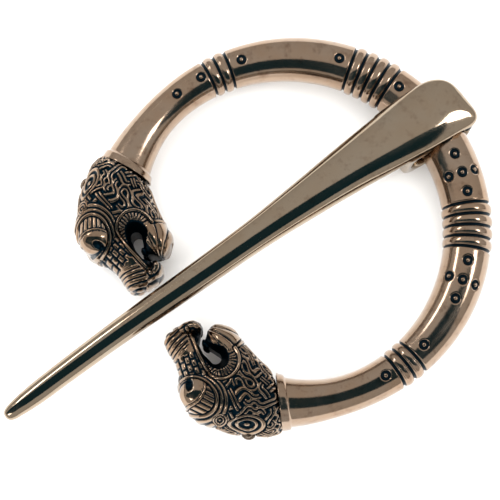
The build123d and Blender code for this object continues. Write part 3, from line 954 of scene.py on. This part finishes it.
    def carve_eye(self, spots: Spots, out: np.ndarray) -> np.ndarray:
        """The eye inside its rim: ribbed behind the lid, smooth with a pit and a fine line before it.

        Args:
            spots: The points.
            out: The height so far.

        Returns:
            The new height.
        """
        f, d, eye = spots.f, spots.d, spots.eye
        lid_gap, _, lid_side = near_line(f, d, spline(LID))
        dome = eye < EYE[3] - 0.1
        front = (lid_side > 0) & (lid_gap < 8) | (f > EYE_FRONT)
        ribs = self.eye_ribs * plates(d + 0.42 * (f - 12), EYE_RIB_PITCH, EYE_CUT)
        pit = bump(np.hypot((f - PIT[0]) / PIT[2], (d - PIT[1]) / PIT[3]), 1.0)
        begin, away, half = EYE_LINE
        line = np.exp(-(((eye - away) / half) ** 2)) * (f > begin)
        out = np.where(dome, np.where(front, self.eyeball * (1 - line) - self.pit * pit, ribs), out)
        out = np.where(dome & (lid_gap < RIM_HALF), self.rims * bump(lid_gap, RIM_HALF), out)
        rim = np.abs(eye - EYE[3])
        return np.where((rim < 0.4) & (f < EYE_RIM_END), self.rims * bump(rim, RIM_HALF), out)

    def carve_ears(self, spots: Spots, out: np.ndarray) -> np.ndarray:
        """Ears: an oval knob inside two rings, pointed towards the eye.

        Args:
            spots: The points.
            out: The height so far.

        Returns:
            The new height.
        """
        for ear_f, ear_d, length, width in EARS:
            lean = np.clip((spots.f - ear_f) / length, 0, 1.2)
            here = width * (1 - EAR_POINT * lean)
            level = np.hypot((spots.f - ear_f) / length, (spots.d - ear_d) / here)
            rings = np.max([bump(level - away, half) for away, half in EAR_RINGS], axis=0)
            out = np.where(level < EAR_EDGE, self.ears * rings, out)
        return out


@dataclass
class BeastHead:
    """One end of the ring: a beast's head with open jaws, carved on both sides."""

    arm: Arm
    piece: bpy.types.Object | None = None

    @staticmethod
    def carve(cell: float = 0.14) -> tuple[np.ndarray, np.ndarray, np.ndarray]:
        """Meshes a head in its own frame and raises its carved work.

        Args:
            cell: Size of the net's cells.

        Returns:
            Corners, quads and the depth of each corner, 0 high and 1 deep; on the slot's walls it carries
            painted shade instead.
        """
        low, high = (0.2, -15.0, -7.0), (21.5, 7.5, 7.0)
        points, quads = surface_net(head_field, low, high, cell)
        f, d, z = points.T
        wall_reach, knob_reach, work_start, work_rise = 0.12, 0.15, 0.7, 0.3
        height = Carving().height(f, d, z)
        walls = np.abs(mouth_field(f, d, z)) < wall_reach
        height = np.where(walls, 0.0, height)
        height *= np.clip((f - collar_shift(d) - work_start) / work_rise, 0, 1)
        # the ground is dark, and the tops are bare
        ground_depth, bare_height, knob_depth, lips_depth, lips_start = 1.16, 0.37, 0.35, 0.5, -10.0
        depth = np.clip(ground_depth - height / bare_height, 0, 1)
        depth = np.where(ball_field(f, d, z, KNOB) < knob_reach, knob_depth, depth)
        # painted shade: the slot's walls are marked dark inside, and paler where they open out between the
        # lips
        depth = np.where(walls, np.where(d > lips_start, 1.0, lips_depth), depth)
        return points + unit_normals(head_field, points) * height[:, None], quads, depth

    def build(self, carved: tuple) -> None:
        """Sets a carved head at its end of the ring.

        Args:
            carved: Corners, quads and depths in the head's own frame.
        """
        points, quads, depth = carved
        angle = MIDDLE_ANGLE + self.arm.value * HEAD_HALF_SPAN
        outward = facing_out(angle)
        forward = np.array([-outward[1], outward[0], 0.0]) * self.arm.value
        placed = on_ring(angle) + points[:, :1] * forward + points[:, 1:2] * outward
        placed[:, 2] += points[:, 2]
        if self.arm is Arm.UPPER:
            quads = quads[:, ::-1]
        self.piece = mesh_piece(f"{self.arm.name.lower()}_head", placed, quads, {"recess": depth})

    def dress(self, finish: bpy.types.Material) -> None:
        """Gives the head its finish and its body.

        Args:
            finish: The material.
        """
        self.piece.data.materials.append(finish)
        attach(self.piece, "ring")


# The bar

# way from the middle towards a head in degrees, radius
BAR_RADII = [(0.0, 4.1), (30.0, 3.9), (58.0, 3.65), (76.0, 3.34), (90.0, 3.1), (101.0, 3.0), (112.0, 3.2),
             (119.0, 3.6), (125.1, 4.0)]
# direction in degrees, number of grooves
BANDS = [(115.0, 3), (62.6, 5), (-0.7, 5), (-51.8, 3)]
GROOVE_PITCH = 1.82
GROOVE_HALF = 0.24
GROOVE_DEPTH = 0.38
# direction in degrees, distance across
PUNCHES = [(131.1, 0.0), (121.4, 0.0), (106.8, 0.0), (74.1, 0.0), (52.2, 0.0), (-43.7, 0.0), (-59.3, 0.0)]
CROSSES = [16.6, -19.2]
CROSS_ALONG = 3.25
CROSS_ACROSS = 2.25
PUNCH_RADIUS = 0.59
PUNCH_HALF = 0.26
PUNCH_DEPTH = 0.3


def bar_radius(angle: np.ndarray) -> np.ndarray:
    """The plain bar's radius at directions in degrees."""
    way = np.abs((angle - MIDDLE_ANGLE + 180) % 360 - 180)
    return smooth_table(way, BAR_RADII, 1)


def band_angles(shift: float, fewer: int) -> list[float]:
    """Directions that stand a groove's pitch apart in each band.

    Args:
        shift: How far the first one stands from the band's first groove, in pitches.
        fewer: How many fewer there are than grooves.

    Returns:
        The directions in degrees.
    """
    pitch = ring_degrees(GROOVE_PITCH)
    angles = []
    for centre, count in BANDS:
        angles += [centre + (k + shift - (count - 1) / 2) * pitch for k in range(count - fewer)]
    return angles


def punch_list() -> list[tuple[float, float]]:
    """Places the single punch marks and the crosses of five.

    Returns:
        Direction and distance across of every mark.
    """
    along, across = ring_degrees(CROSS_ALONG), CROSS_ACROSS
    five = [(0.0, 0.0), (along, 0.0), (-along, 0.0), (0.0, across), (0.0, -across)]
    return PUNCHES + [(centre + turn, aside) for centre in CROSSES for turn, aside in five]


def punch_place(angle: float, across: float) -> tuple[np.ndarray, np.ndarray]:
    """Places a punch mark on the bar's top.

    Args:
        angle: Its direction in degrees.
        across: Its distance from the bar's middle line, outwards.

    Returns:
        The mark's centre and the direction it faces.
    """
    radius = float(bar_radius(np.array([angle]))[0])
    tilt = math.asin(across / radius)
    normal = facing_out(angle) * math.sin(tilt) + np.array([0.0, 0.0, math.cos(tilt)])
    return on_ring(angle) + normal * radius, normal


@dataclass
class Bar:
    """The tapered, turned and punched bar with its two collars."""

    fine: float = 0.13
    coarse: float = 0.7
    # degrees of the section on either side of its top that are meshed finely, and the numbers of corners
    top_reach: float = 62.0
    top_count: int = 72
    under_count: int = 44
    # how much lower a collar is at its middle, its flare towards the head, and how far it leans the sections
    collar_drop: float = 0.16
    collar_flare: float = 0.2
    lean_reach: float = 7.0
    piece: bpy.types.Object | None = None

    def stations(self) -> np.ndarray:
        """Spaces the bar's sections, close together where there is detail.

        Returns:
            Their directions in degrees.
        """
        half = HEAD_HALF_SPAN + ring_degrees(COLLAR_WIDTH / 2)
        per_mm = ring_degrees(1)
        busy = [(a, 1.1) for a, _ in punch_list()] + [(a, 0.75) for a in band_angles(0, 0)]
        busy += [(MIDDLE_ANGLE + arm.value * HEAD_HALF_SPAN, COLLAR_WIDTH / 2 + 0.3) for arm in Arm]
        here = MIDDLE_ANGLE - half
        out = [here]
        while here < MIDDLE_ANGLE + half:
            gap = min(max(0.0, abs(here - a) / per_mm - reach) for a, reach in busy)
            here += per_mm * min(self.coarse, self.fine + 0.25 * gap)
            out.append(min(here, MIDDLE_ANGLE + half))
        return np.array(out)

    def section_radii(self, stations: np.ndarray) -> tuple[np.ndarray, np.ndarray]:
        """Radius of each section with its grooves and collars.

        Args:
            stations: The sections' directions in degrees.

        Returns:
            The radii, and how deep each section lies in a groove, 0 to 1.
        """
        per_mm = ring_degrees(1)
        sunk = np.zeros(len(stations))
        for angle in band_angles(0, 0):
            sunk = np.maximum(sunk, np.exp(-(((stations - angle) / per_mm / GROOVE_HALF) ** 4)))
        radius = bar_radius(stations) - GROOVE_DEPTH * sunk
        for arm in Arm:
            lean = arm.value * (stations - MIDDLE_ANGLE - arm.value * HEAD_HALF_SPAN) / per_mm
            swell = np.clip(1 - np.abs(lean / (COLLAR_WIDTH / 2)) ** 8, 0, 1) ** 0.4
            collar = COLLAR_RADIUS - self.collar_drop + self.collar_flare * lean
            radius = np.maximum(radius, radius + (collar - radius) * swell)
        return radius, sunk

    def build(self) -> None:
        """Sweeps the bar's sections along the ring and sinks grooves and punch marks."""
        stations = self.stations()
        radius, sunk = self.section_radii(stations)
        top = 90 + np.linspace(-self.top_reach, self.top_reach, self.top_count)
        under = np.linspace(top[-1], top[0] + 360, self.under_count)[1:-1]
        tilt = np.radians(np.concatenate([top, under]))[None, :]
        radius = radius[:, None]
        # the sections near a collar lean with it
        way = (stations - MIDDLE_ANGLE)[:, None]
        near = np.clip(1 - np.abs(np.abs(way) - HEAD_HALF_SPAN) / ring_degrees(self.lean_reach), 0, 1) ** 1.5
        shift = ring_degrees(1) * near * collar_shift(radius * np.cos(tilt))
        turn = np.radians(stations[:, None] + np.sign(way) * shift)
        flat = RING_RADIUS + radius * np.cos(tilt)
        points = np.stack([flat * np.cos(turn), flat * np.sin(turn), MID_HEIGHT + radius * np.sin(tilt)], -1)
        rise = np.sin(tilt) + 0 * turn
        normal = np.stack([np.cos(tilt) * np.cos(turn), np.cos(tilt) * np.sin(turn), rise], -1)
        recess = np.repeat(sunk[:, None], tilt.size, 1)
        for angle, across in punch_list():
            away = np.linalg.norm(points - punch_place(angle, across)[0], axis=-1)
            ring = np.exp(-(((away - PUNCH_RADIUS) / PUNCH_HALF) ** 4))
            points = points - normal * (PUNCH_DEPTH * ring)[..., None]
            recess = np.maximum(recess, ring)
        rows, columns = recess.shape
        grid = np.arange(rows * columns).reshape(rows, columns)
        a, b = grid[:-1], grid[1:]
        quads = np.stack([a, b, np.roll(b, -1, 1), np.roll(a, -1, 1)], -1).reshape(-1, 4)
        # the ends are fans of triangles round one more corner each
        corners = np.concatenate([points.reshape(-1, 3), points[[0, -1]].mean(1)])
        start, end, none = [np.full(columns, number) for number in (rows * columns, rows * columns + 1, -1)]
        first = np.stack([start, grid[0], np.roll(grid[0], -1), none], 1)
        last = np.stack([end, np.roll(grid[-1], -1), grid[-1], none], 1)
        marks = {"recess": np.concatenate([recess.ravel(), [0, 0]])}
        self.piece = mesh_piece("bar", corners, np.concatenate([quads, first, last]), marks)

    def dress(self, finish: bpy.types.Material) -> None:
        """Gives the bar its finish and its body.

        Args:
            finish: The material.
        """
        self.piece.data.materials.append(finish)
        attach(self.piece, "ring")
        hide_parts("hoop")


# The pin

# way from tip to bar, width, thickness, sides' height, how far aside: shares of the pin's own sizes
PIN_SECTIONS = [
    (0.0, 0.16, 0.30, 0.35, -0.030), (0.010, 0.235, 0.42, 0.35, -0.030), (0.030, 0.29, 0.54, 0.35, -0.025),
    (0.065, 0.34, 0.62, 0.35, -0.018), (0.13, 0.365, 0.69, 0.33, -0.005), (0.25, 0.395, 0.75, 0.30, 0.010),
    (0.45, 0.455, 0.83, 0.27, 0.0), (0.60, 0.53, 0.88, 0.24, 0.0), (0.70, 0.64, 0.94, 0.22, 0.0),
    (0.80, 0.77, 1.0, 0.22, -0.005), (0.90, 0.90, 1.0, 0.28, -0.030), (1.0, 0.99, 0.92, 0.36, -0.065),
    (1.078, 1.0, 0.66, 0.40, -0.100),
]


@dataclass
class Pin:
    """The wrought pin: slim shaft, broad head and the strap that wraps the bar."""

    # from the bar's centre to the tip and to the broad end
    reach: float = 82.9
    end: float = 6.4
    width: float = 10.4
    thickness: float = 3.4
    upper_corner: float = 5.6
    lower_corner: float = 2.8
    crest_round: float = 4.4
    # the bore round the bar, the play beyond it, and the strap's walls
    loop_radius: float = 4.35
    play_below: float = 0.4
    play_inside: float = 1.3
    wall: float = 1.7
    inner_wall: float = 1.9
    # how far the outline from above stands outside the broad end's sides
    slack: float = 0.4
    # roundings of the shaft's edges and tip
    edge_round: float = 0.4
    tip_round: float = 0.6
    # the strap: its corners, its bottom's width as a share of the top's, how far it rises into the shaft
    strap_round: float = 3.4
    strap_bottom_share: float = 0.9
    strap_rise: float = 0.6
    strap_blend: float = 0.7
    # where the end's side view and its outline from above round it off
    side_blend: float = 0.9
    plan_blend: float = 0.8
    bore_blend: float = 0.45
    bore_roundness: float = 0.85
    # painted shade on the strap's inside: how dark it is, and how far outside the loop it reaches
    painted_shade_depth: float = 0.6
    painted_shade_reach: float = 1.0
    cell: float = 0.2
    piece: bpy.types.Object | None = None

    def shape(self, x: np.ndarray, across: np.ndarray, z: np.ndarray) -> np.ndarray:
        """Distance field of the pin.

        Args:
            x: Along the pin from the bar's centre, in millimetres.
            across: Across the pin.
            z: Height over the hoop's middle plane.

        Returns:
            The distances, negative inside.
        """
        way = 1 + x / self.reach
        half = self.width * smooth_table(way, PIN_SECTIONS, 1) / 2
        y = across - self.width * smooth_table(way, PIN_SECTIONS, 4)
        inner = self.loop_radius + self.play_inside + self.inner_wall
        bottom = self.loop_radius + self.play_below + self.wall
        rise = np.clip((z + bottom) / (PIN_UNDERSIDE + bottom), 0, 1.5)
        side = np.abs(y) - (self.strap_bottom_share + (1 - self.strap_bottom_share) * rise) * half
        # the strap's top corners lie well inside the shaft
        strap = self.rounded_box(x, z, (-inner, self.end), (-bottom, PIN_UNDERSIDE + 4.0), self.strap_round)
        strap = smooth_cut(np.maximum(strap, z - PIN_UNDERSIDE - self.strap_rise), side, self.strap_blend)
        body = smooth_union(self.shaft(x, y, z, half, way), strap, self.strap_blend)
        long, end = -2 * self.reach, self.end + 0.1
        crest = PIN_UNDERSIDE + self.thickness
        side_view = self.rounded_box(x, z, (long, end), (-bottom, crest), self.crest_round)
        broad = self.width / 2 + self.slack
        corner = np.where(y > 0, self.upper_corner, self.lower_corner) + self.slack
        plan = self.rounded_box(x, y, (long, end), (-broad, broad), corner)
        body = smooth_cut(smooth_cut(body, side_view, self.side_blend), plan, self.plan_blend)
        # the bore widens to both sides, as the ring is curved and crosses the pin at a slant
        skew = PIN_OFFSET / RING_RADIUS
        reach = self.loop_radius + across**2 / (2 * RING_RADIUS) + skew * np.abs(across)
        along, upright = (-reach - self.play_inside, reach), (-reach - self.play_below, reach)
        bore = self.rounded_box(x, z, along, upright, self.bore_roundness * reach)
        return smooth_cut(body, -bore, self.bore_blend)

    def shaft(
        self, x: np.ndarray, y: np.ndarray, z: np.ndarray, half: np.ndarray, way: np.ndarray
    ) -> np.ndarray:
        """Distance field of the shaft with its low crown and flat underside.

        Args:
            x: Along the pin from the bar's centre, in millimetres.
            y: Across, from the shaft's middle line.
            z: Height over the hoop's middle plane.
            half: Half the shaft's width.
            way: Way from the tip to the bar, 0 to 1.

        Returns:
            The distances, negative inside.
        """
        thick = self.thickness * smooth_table(way, PIN_SECTIONS, 2)
        drop = thick * (1 - smooth_table(way, PIN_SECTIONS, 3))
        # the crown is an arc through both sides' tops and the crest
        arc = np.maximum((half**2 + drop**2) / (2 * drop), 1.001 * half)
        crown = np.hypot(y, z - PIN_UNDERSIDE - thick + arc) - arc
        body = smooth_cut(crown, np.abs(y) - half, self.edge_round)
        body = smooth_cut(body, PIN_UNDERSIDE - z, self.edge_round)
        return smooth_cut(body, -self.reach - x, self.tip_round)

    @staticmethod
    def rounded_box(
        x: np.ndarray, z: np.ndarray, across: tuple, upright: tuple, radius: float | np.ndarray
    ) -> np.ndarray:
        """Distance field of a rounded box seen from one side.

        Args:
            x: First coordinate.
            z: Second coordinate.
            across: Limits of the first one.
            upright: Limits of the second one.
            radius: Radius of the corners.

        Returns:
            The distances, negative inside.
        """
        a = np.abs(x - (across[0] + across[1]) / 2) - (across[1] - across[0]) / 2 + radius
        b = np.abs(z - (upright[0] + upright[1]) / 2) - (upright[1] - upright[0]) / 2 + radius
        return np.hypot(np.maximum(a, 0), np.maximum(b, 0)) + np.minimum(np.maximum(a, b), 0) - radius

    def build(self) -> None:
        """Meshes the pin and lays it over the ring."""
        low, high = (-self.reach - 0.5, -6.4, -7.0), (self.end + 0.5, 5.4, 8.4)
        points, quads = surface_net(self.shape, low, high, self.cell)
        along, across = facing_out(PIN_DIRECTION), facing_out(PIN_DIRECTION + 90)
        axes = np.stack([along, across, np.array([0.0, 0.0, 1.0])])
        centre = along * math.sqrt(RING_RADIUS**2 - PIN_OFFSET**2) + across * PIN_OFFSET
        centre[2] = MID_HEIGHT
        # painted shade: the strap's inside round the bar is marked dark, as if in shadow
        inside = np.hypot(points[:, 0], points[:, 2]) < self.loop_radius + self.painted_shade_reach
        marks = {"recess": np.where(inside, self.painted_shade_depth, 0.0)}
        self.piece = mesh_piece("wrapped_pin", centre + points @ axes, quads, marks)
        facing = unit_normals(self.shape, points) @ axes
        self.piece.data.normals_split_custom_set_from_vertices(facing.tolist())

    def dress(self, finish: bpy.types.Material) -> None:
        """Gives the pin its finish and its body.

        Args:
            finish: The material.
        """
        self.piece.data.materials.append(finish)
        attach(self.piece, "fastener")
        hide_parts("pin")


# What repeats along the bar

# size of a ridge's section as a share of its ring's radius, and how far it is stretched along the bar
RIDGE_FORM = (0.045, 3.2)
# radius of a dot in millimetres, and its height as a share of that
DOT_FORM = (0.34, 0.75)
# how far a dot's middle lies under the bar's surface
DOT_SINK = 0.1


class RepeatKind(Enum):
    """What is set along the bar again and again."""

    RIDGE = "ridge_rings"
    DOT = "punch_dots"


@dataclass
class Repeats:
    """One small form set at many marked places by a node tree."""

    kind: RepeatKind
    # centre, turn and size of each place
    places: list[tuple]
    piece: bpy.types.Object | None = None

    def tree(self, finish: bpy.types.Material) -> bpy.types.NodeTree:
        """Builds the node group: place a form on each point, scale and turn it, make it real.

        Args:
            finish: The material.

        Returns:
            The node group, with inputs for the points, the form's swell and its roundness.
        """
        tree = bpy.data.node_groups.new(self.kind.value, "GeometryNodeTree")
        for name, way, kind in (
            ("Points", "INPUT", "Geometry"), ("Swell", "INPUT", "Float"), ("Roundness", "INPUT", "Float"),
            ("Result", "OUTPUT", "Geometry"),
        ):
            tree.interface.new_socket(name, in_out=way, socket_type="NodeSocket" + kind)
        start = add_node(tree, "NodeGroupInput")
        end = add_node(tree, "NodeGroupOutput")
        radius = {"Radius": start.outputs["Swell"]}
        if self.kind is RepeatKind.RIDGE:
            circle = add_node(tree, "GeometryNodeCurvePrimitiveCircle", {"Resolution": 96, "Radius": 1.0})
            profile = add_node(tree, "GeometryNodeCurvePrimitiveCircle", {"Resolution": 20}, radius)
            curves = {"Curve": circle.outputs["Curve"], "Profile Curve": profile.outputs["Curve"]}
            form = add_node(tree, "GeometryNodeCurveToMesh", None, curves)
        else:
            form = add_node(tree, "GeometryNodeMeshIcoSphere", {"Subdivisions": 3}, radius)
        height = {"Z": start.outputs["Roundness"]}
        stretch = add_node(tree, "ShaderNodeCombineXYZ", {"X": 1.0, "Y": 1.0}, height)
        sized = {"Geometry": form.outputs["Mesh"], "Scale": stretch.outputs["Vector"]}
        body = add_node(tree, "GeometryNodeTransform", None, sized)
        turn, size = [
            add_node(tree, "GeometryNodeInputNamedAttribute", {"data_type": kind, "Name": name})
            for name, kind in (("turn", "FLOAT_VECTOR"), ("size", "FLOAT"))
        ]
        rotation = add_node(tree, "FunctionNodeEulerToRotation", None, {0: turn.outputs["Attribute"]})
        spots = {
            "Points": start.outputs["Points"], "Instance": body.outputs["Geometry"],
            "Rotation": rotation.outputs[0], "Scale": size.outputs["Attribute"],
        }
        placed = add_node(tree, "GeometryNodeInstanceOnPoints", None, spots)
        # made real, smooth and coated, each step on the one before
        last = placed.outputs["Instances"]
        for kind, settings in (
            ("GeometryNodeRealizeInstances", None),
            ("GeometryNodeSetShadeSmooth", None),
            ("GeometryNodeSetMaterial", {"Material": finish}),
        ):
            last = add_node(tree, kind, settings, {"Geometry": last}).outputs["Geometry"]
        tree.links.new(last, end.inputs[0])
        return tree

    def build(self, finish: bpy.types.Material, swell: float, roundness: float) -> None:
        """Runs the node group on the marked places and keeps its result as a mesh.

        Args:
            finish: The material.
            swell: Size of the form, as a share of a place's own size.
            roundness: How far the form stands out, as a share of its width.
        """
        centres, turns, sizes = zip(*self.places)
        marks = bpy.data.meshes.new(self.kind.value + "_places")
        marks.from_pydata([tuple(centre * MM) for centre in centres], [], [])
        turn = marks.attributes.new("turn", "FLOAT_VECTOR", "POINT")
        turn.data.foreach_set("vector", np.array(turns, np.float32).ravel())
        size = marks.attributes.new("size", "FLOAT", "POINT")
        size.data.foreach_set("value", np.array(sizes, np.float32) * np.float32(MM))
        maker = new_object(self.kind.value + "_maker", marks)
        modifier = maker.modifiers.new("repeat", "NODES")
        modifier.node_group = self.tree(finish)
        values = {"Swell": swell, "Roundness": roundness}
        for socket in modifier.node_group.interface.items_tree:
            if socket.name in values:
                modifier[socket.identifier] = values[socket.name]
        shown = bpy.context.evaluated_depsgraph_get()
        mesh = bpy.data.meshes.new_from_object(maker.evaluated_get(shown), depsgraph=shown)
        mesh.name = self.kind.value
        self.piece = new_object(self.kind.value, mesh)
        bpy.data.objects.remove(maker)
        LOG.info("%s: %d faces", self.kind.value, len(mesh.polygons))

    def dress(self) -> None:
        """Gives the repeated forms their body; their finish came with the node group."""
        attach(self.piece, "ring")


def ridge_places() -> list[tuple]:
    """Places a ridge between each two grooves of a band.

    Returns:
        Centre, turn and radius of each.
    """
    angles = band_angles(0.5, 1)
    radii = bar_radius(np.array(angles))
    return [(on_ring(a), (math.pi / 2, 0.0, math.radians(a)), float(r)) for a, r in zip(angles, radii)]


def dot_places() -> list[tuple]:
    """Places the raised dot in each punch mark.

    Returns:
        Centre, turn and size of each.
    """
    out = []
    for angle, across in punch_list():
        place, normal = punch_place(angle, across)
        turn = Vector(normal).to_track_quat("Z", "Y").to_euler()
        out.append((place - normal * DOT_SINK, tuple(turn), 1.0))
    return out


# Light, floor and camera


@dataclass(frozen=True)
class Studio:
    """A pale floor, a soft light tent with a dark flag in it, and the camera."""

    # the camera's direction in degrees, its distance in millimetres, its lens and the point that it looks at
    azimuth: float = 0.22
    elevation: float = 77.96
    distance: float = 208.4
    lens: float = 92.59
    aim: tuple = (-6.74, -3.985, MID_HEIGHT)
    floor: str = "#F7F7F6"
    floor_half: float = 3.0
    # the flag's two long edges in metres, as y and z, and its reach to the left and right
    flag_upper: tuple = (0.002, 0.097)
    flag_lower: tuple = (-0.053, 0.045)
    flag_reach: tuple = (-0.15, 0.09)
    flag: str = "#1C3C48"
    # the tent's strength at the horizon and overhead, and that of the plain ground that only the camera sees
    tent: str = "#FBF9F6"
    tent_low: float = 0.64
    tent_high: float = 0.74
    ground: float = 0.9

    def build(self) -> None:
        """Makes floor, flag, world, lamps and camera."""
        self.make_floor()
        self.make_flag()
        self.make_world()
        self.make_lamps()
        self.make_camera()

    @staticmethod
    def make_card(name: str, corners: list[tuple]) -> tuple[bpy.types.Object, bpy.types.Material]:
        """Makes a flat card with a material of its own.

        Args:
            name: The card's name.
            corners: Its four corners in metres.

        Returns:
            The card and its material.
        """
        mesh = bpy.data.meshes.new(name)
        mesh.from_pydata(corners, [], [(0, 1, 2, 3)])
        card = new_object(name, mesh)
        material = bpy.data.materials.new(name + "_card")
        material.use_nodes = True
        mesh.materials.append(material)
        return card, material

    def make_floor(self) -> None:
        """A wide plain floor under the brooch."""
        half = self.floor_half
        corners = [(-half, -half, 0), (half, -half, 0), (half, half, 0), (-half, half, 0)]
        floor, material = self.make_card("floor", corners)
        shader = material.node_tree.nodes["Principled BSDF"]
        shader.inputs["Base Color"].default_value = linear(self.floor)
        shader.inputs["Roughness"].default_value = 0.9

    def make_flag(self) -> None:
        """A slanted dark card over the brooch's front half, which shows only as dark bands in the metal."""
        left, right = self.flag_reach
        lower, upper = self.flag_lower, self.flag_upper
        corners = [(left, *lower), (left, *upper), (right, *upper), (right, *lower)]
        flag, material = self.make_card("flag", corners)
        tree = material.node_tree
        tree.nodes.clear()
        out = add_node(tree, "ShaderNodeOutputMaterial")
        glow = add_node(tree, "ShaderNodeEmission", {"Color": linear(self.flag), "Strength": 1.0})
        tree.links.new(glow.outputs[0], out.inputs[0])
        flag.visible_camera = False
        flag.visible_diffuse = False
        flag.visible_shadow = False
        flag.visible_transmission = False

    def make_world(self) -> None:
        """A pale tent, a little brighter overhead."""
        world = bpy.data.worlds.new("tent")
        bpy.context.scene.world = world
        world.use_nodes = True
        tree = world.node_tree
        tree.nodes.clear()
        out = add_node(tree, "ShaderNodeOutputWorld")
        place = add_node(tree, "ShaderNodeTexCoord").outputs["Generated"]
        axes = add_node(tree, "ShaderNodeSeparateXYZ", None, {0: place})
        rise = {1: 0.0, 2: 1.0, 3: self.tent_low, 4: self.tent_high}
        height = add_node(tree, "ShaderNodeMapRange", rise, {0: axes.outputs["Z"]})
        tent = {"Color": linear(self.tent)}
        around = add_node(tree, "ShaderNodeBackground", tent, {"Strength": height.outputs[0]})
        plain = add_node(tree, "ShaderNodeBackground", {"Color": linear("#FFFFFF"), "Strength": self.ground})
        seen = add_node(tree, "ShaderNodeLightPath").outputs["Is Camera Ray"]
        both = {0: seen, 1: around.outputs[0], 2: plain.outputs[0]}
        mix = add_node(tree, "ShaderNodeMixShader", None, both)
        tree.links.new(mix.outputs[0], out.inputs[0])

    def make_lamps(self) -> None:
        """Soft boxes that the metal mirrors, and a wide one that only fills the shadows."""
        rows = [
            # name, position, width, height, power, mirrored in metal
            ("key_box", (0.45, -0.02, 0.53), 0.2, 0.2, 1.3, True),
            ("left_box", (-0.4, -0.3, 0.5), 0.3, 0.3, 1.9, True),
            ("back_box", (-0.45, 0.3, 0.45), 0.3, 0.1, 0.8, True),
            ("fill_box", (0.0, 0.0, 1.2), 1.6, 1.6, 20.0, False),
        ]
        for name, place, width, height, power, mirrored in rows:
            lamp = bpy.data.lights.new(name, "AREA")
            lamp.shape = "RECTANGLE"
            lamp.size = width
            lamp.size_y = height
            lamp.energy = power
            box = new_object(name, lamp)
            box.location = place
            box.visible_glossy = mirrored
            box.rotation_euler = (-Vector(place)).to_track_quat("-Z", "Y").to_euler()

    def make_camera(self) -> None:
        """The camera at the photograph's angle."""
        data = bpy.data.cameras.new("camera")
        data.lens = self.lens
        data.sensor_width = 36.0
        data.clip_start = 0.005
        camera = new_object("camera", data)
        az, el = math.radians(self.azimuth), math.radians(self.elevation)
        back = Vector((math.sin(az) * math.cos(el), -math.cos(az) * math.cos(el), math.sin(el)))
        camera.location = Vector(self.aim) * MM + back * self.distance * MM
        camera.rotation_euler = (-back).to_track_quat("-Z", "Y").to_euler()
        bpy.context.scene.camera = camera


# The finishes, all of cast or wrought tin bronze that is polished by hand

# the bar: clear mirrored bands, a brown tone, and dark patina in the grooves and punch marks
BAR_FINISH = Bronze(
    "bronze_cast_polished", bright="#A6988A", warm="#A08064", patina_and_shade="#14222A",
    roughness=0.14, patina_and_shade_roughness=0.5, pit_depth=0.03, stain=0.55,
)
# the heads: bright tops over sunk ground that is nearly black, with a green-blue cast; the same dark colour
# is painted shade on the slot's walls
HEAD_FINISH = Bronze(
    "bronze_cast_patinated", bright="#9E9488", warm="#9A7654", patina_and_shade="#081C26",
    roughness=0.12, patina_and_shade_roughness=0.38, pit_depth=0.02, stain=0.4,
)
# the pin: hammered, filed smooth and polished most, so that it mirrors most sharply; its dark colour is only
# painted shade inside the strap
PIN_FINISH = Bronze(
    "bronze_wrought_polished", bright="#A69A8A", warm="#A08A72", patina_and_shade="#14222A",
    roughness=0.09, patina_and_shade_roughness=0.45, pit_depth=0.015, stain=0.35,
)


def main() -> None:
    """Builds the brooch on its frame, piece by piece."""
    logging.basicConfig(level=logging.INFO, format="%(name)s %(message)s")
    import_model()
    bpy.context.scene.view_settings.view_transform = "Standard"
    Studio().build()
    bar_finish = BAR_FINISH.make()
    bar = Bar()
    bar.build()
    bar.dress(bar_finish)
    for kind, places, form in (
        (RepeatKind.RIDGE, ridge_places(), RIDGE_FORM),
        (RepeatKind.DOT, dot_places(), DOT_FORM),
    ):
        repeats = Repeats(kind, places)
        repeats.build(bar_finish, *form)
        repeats.dress()
    head_finish = HEAD_FINISH.make()
    carved = BeastHead.carve()
    for arm in Arm:
        head = BeastHead(arm)
        head.build(carved)
        head.dress(head_finish)
    pin = Pin()
    pin.build()
    pin.dress(PIN_FINISH.make())


if __name__ == "__main__":
    main()
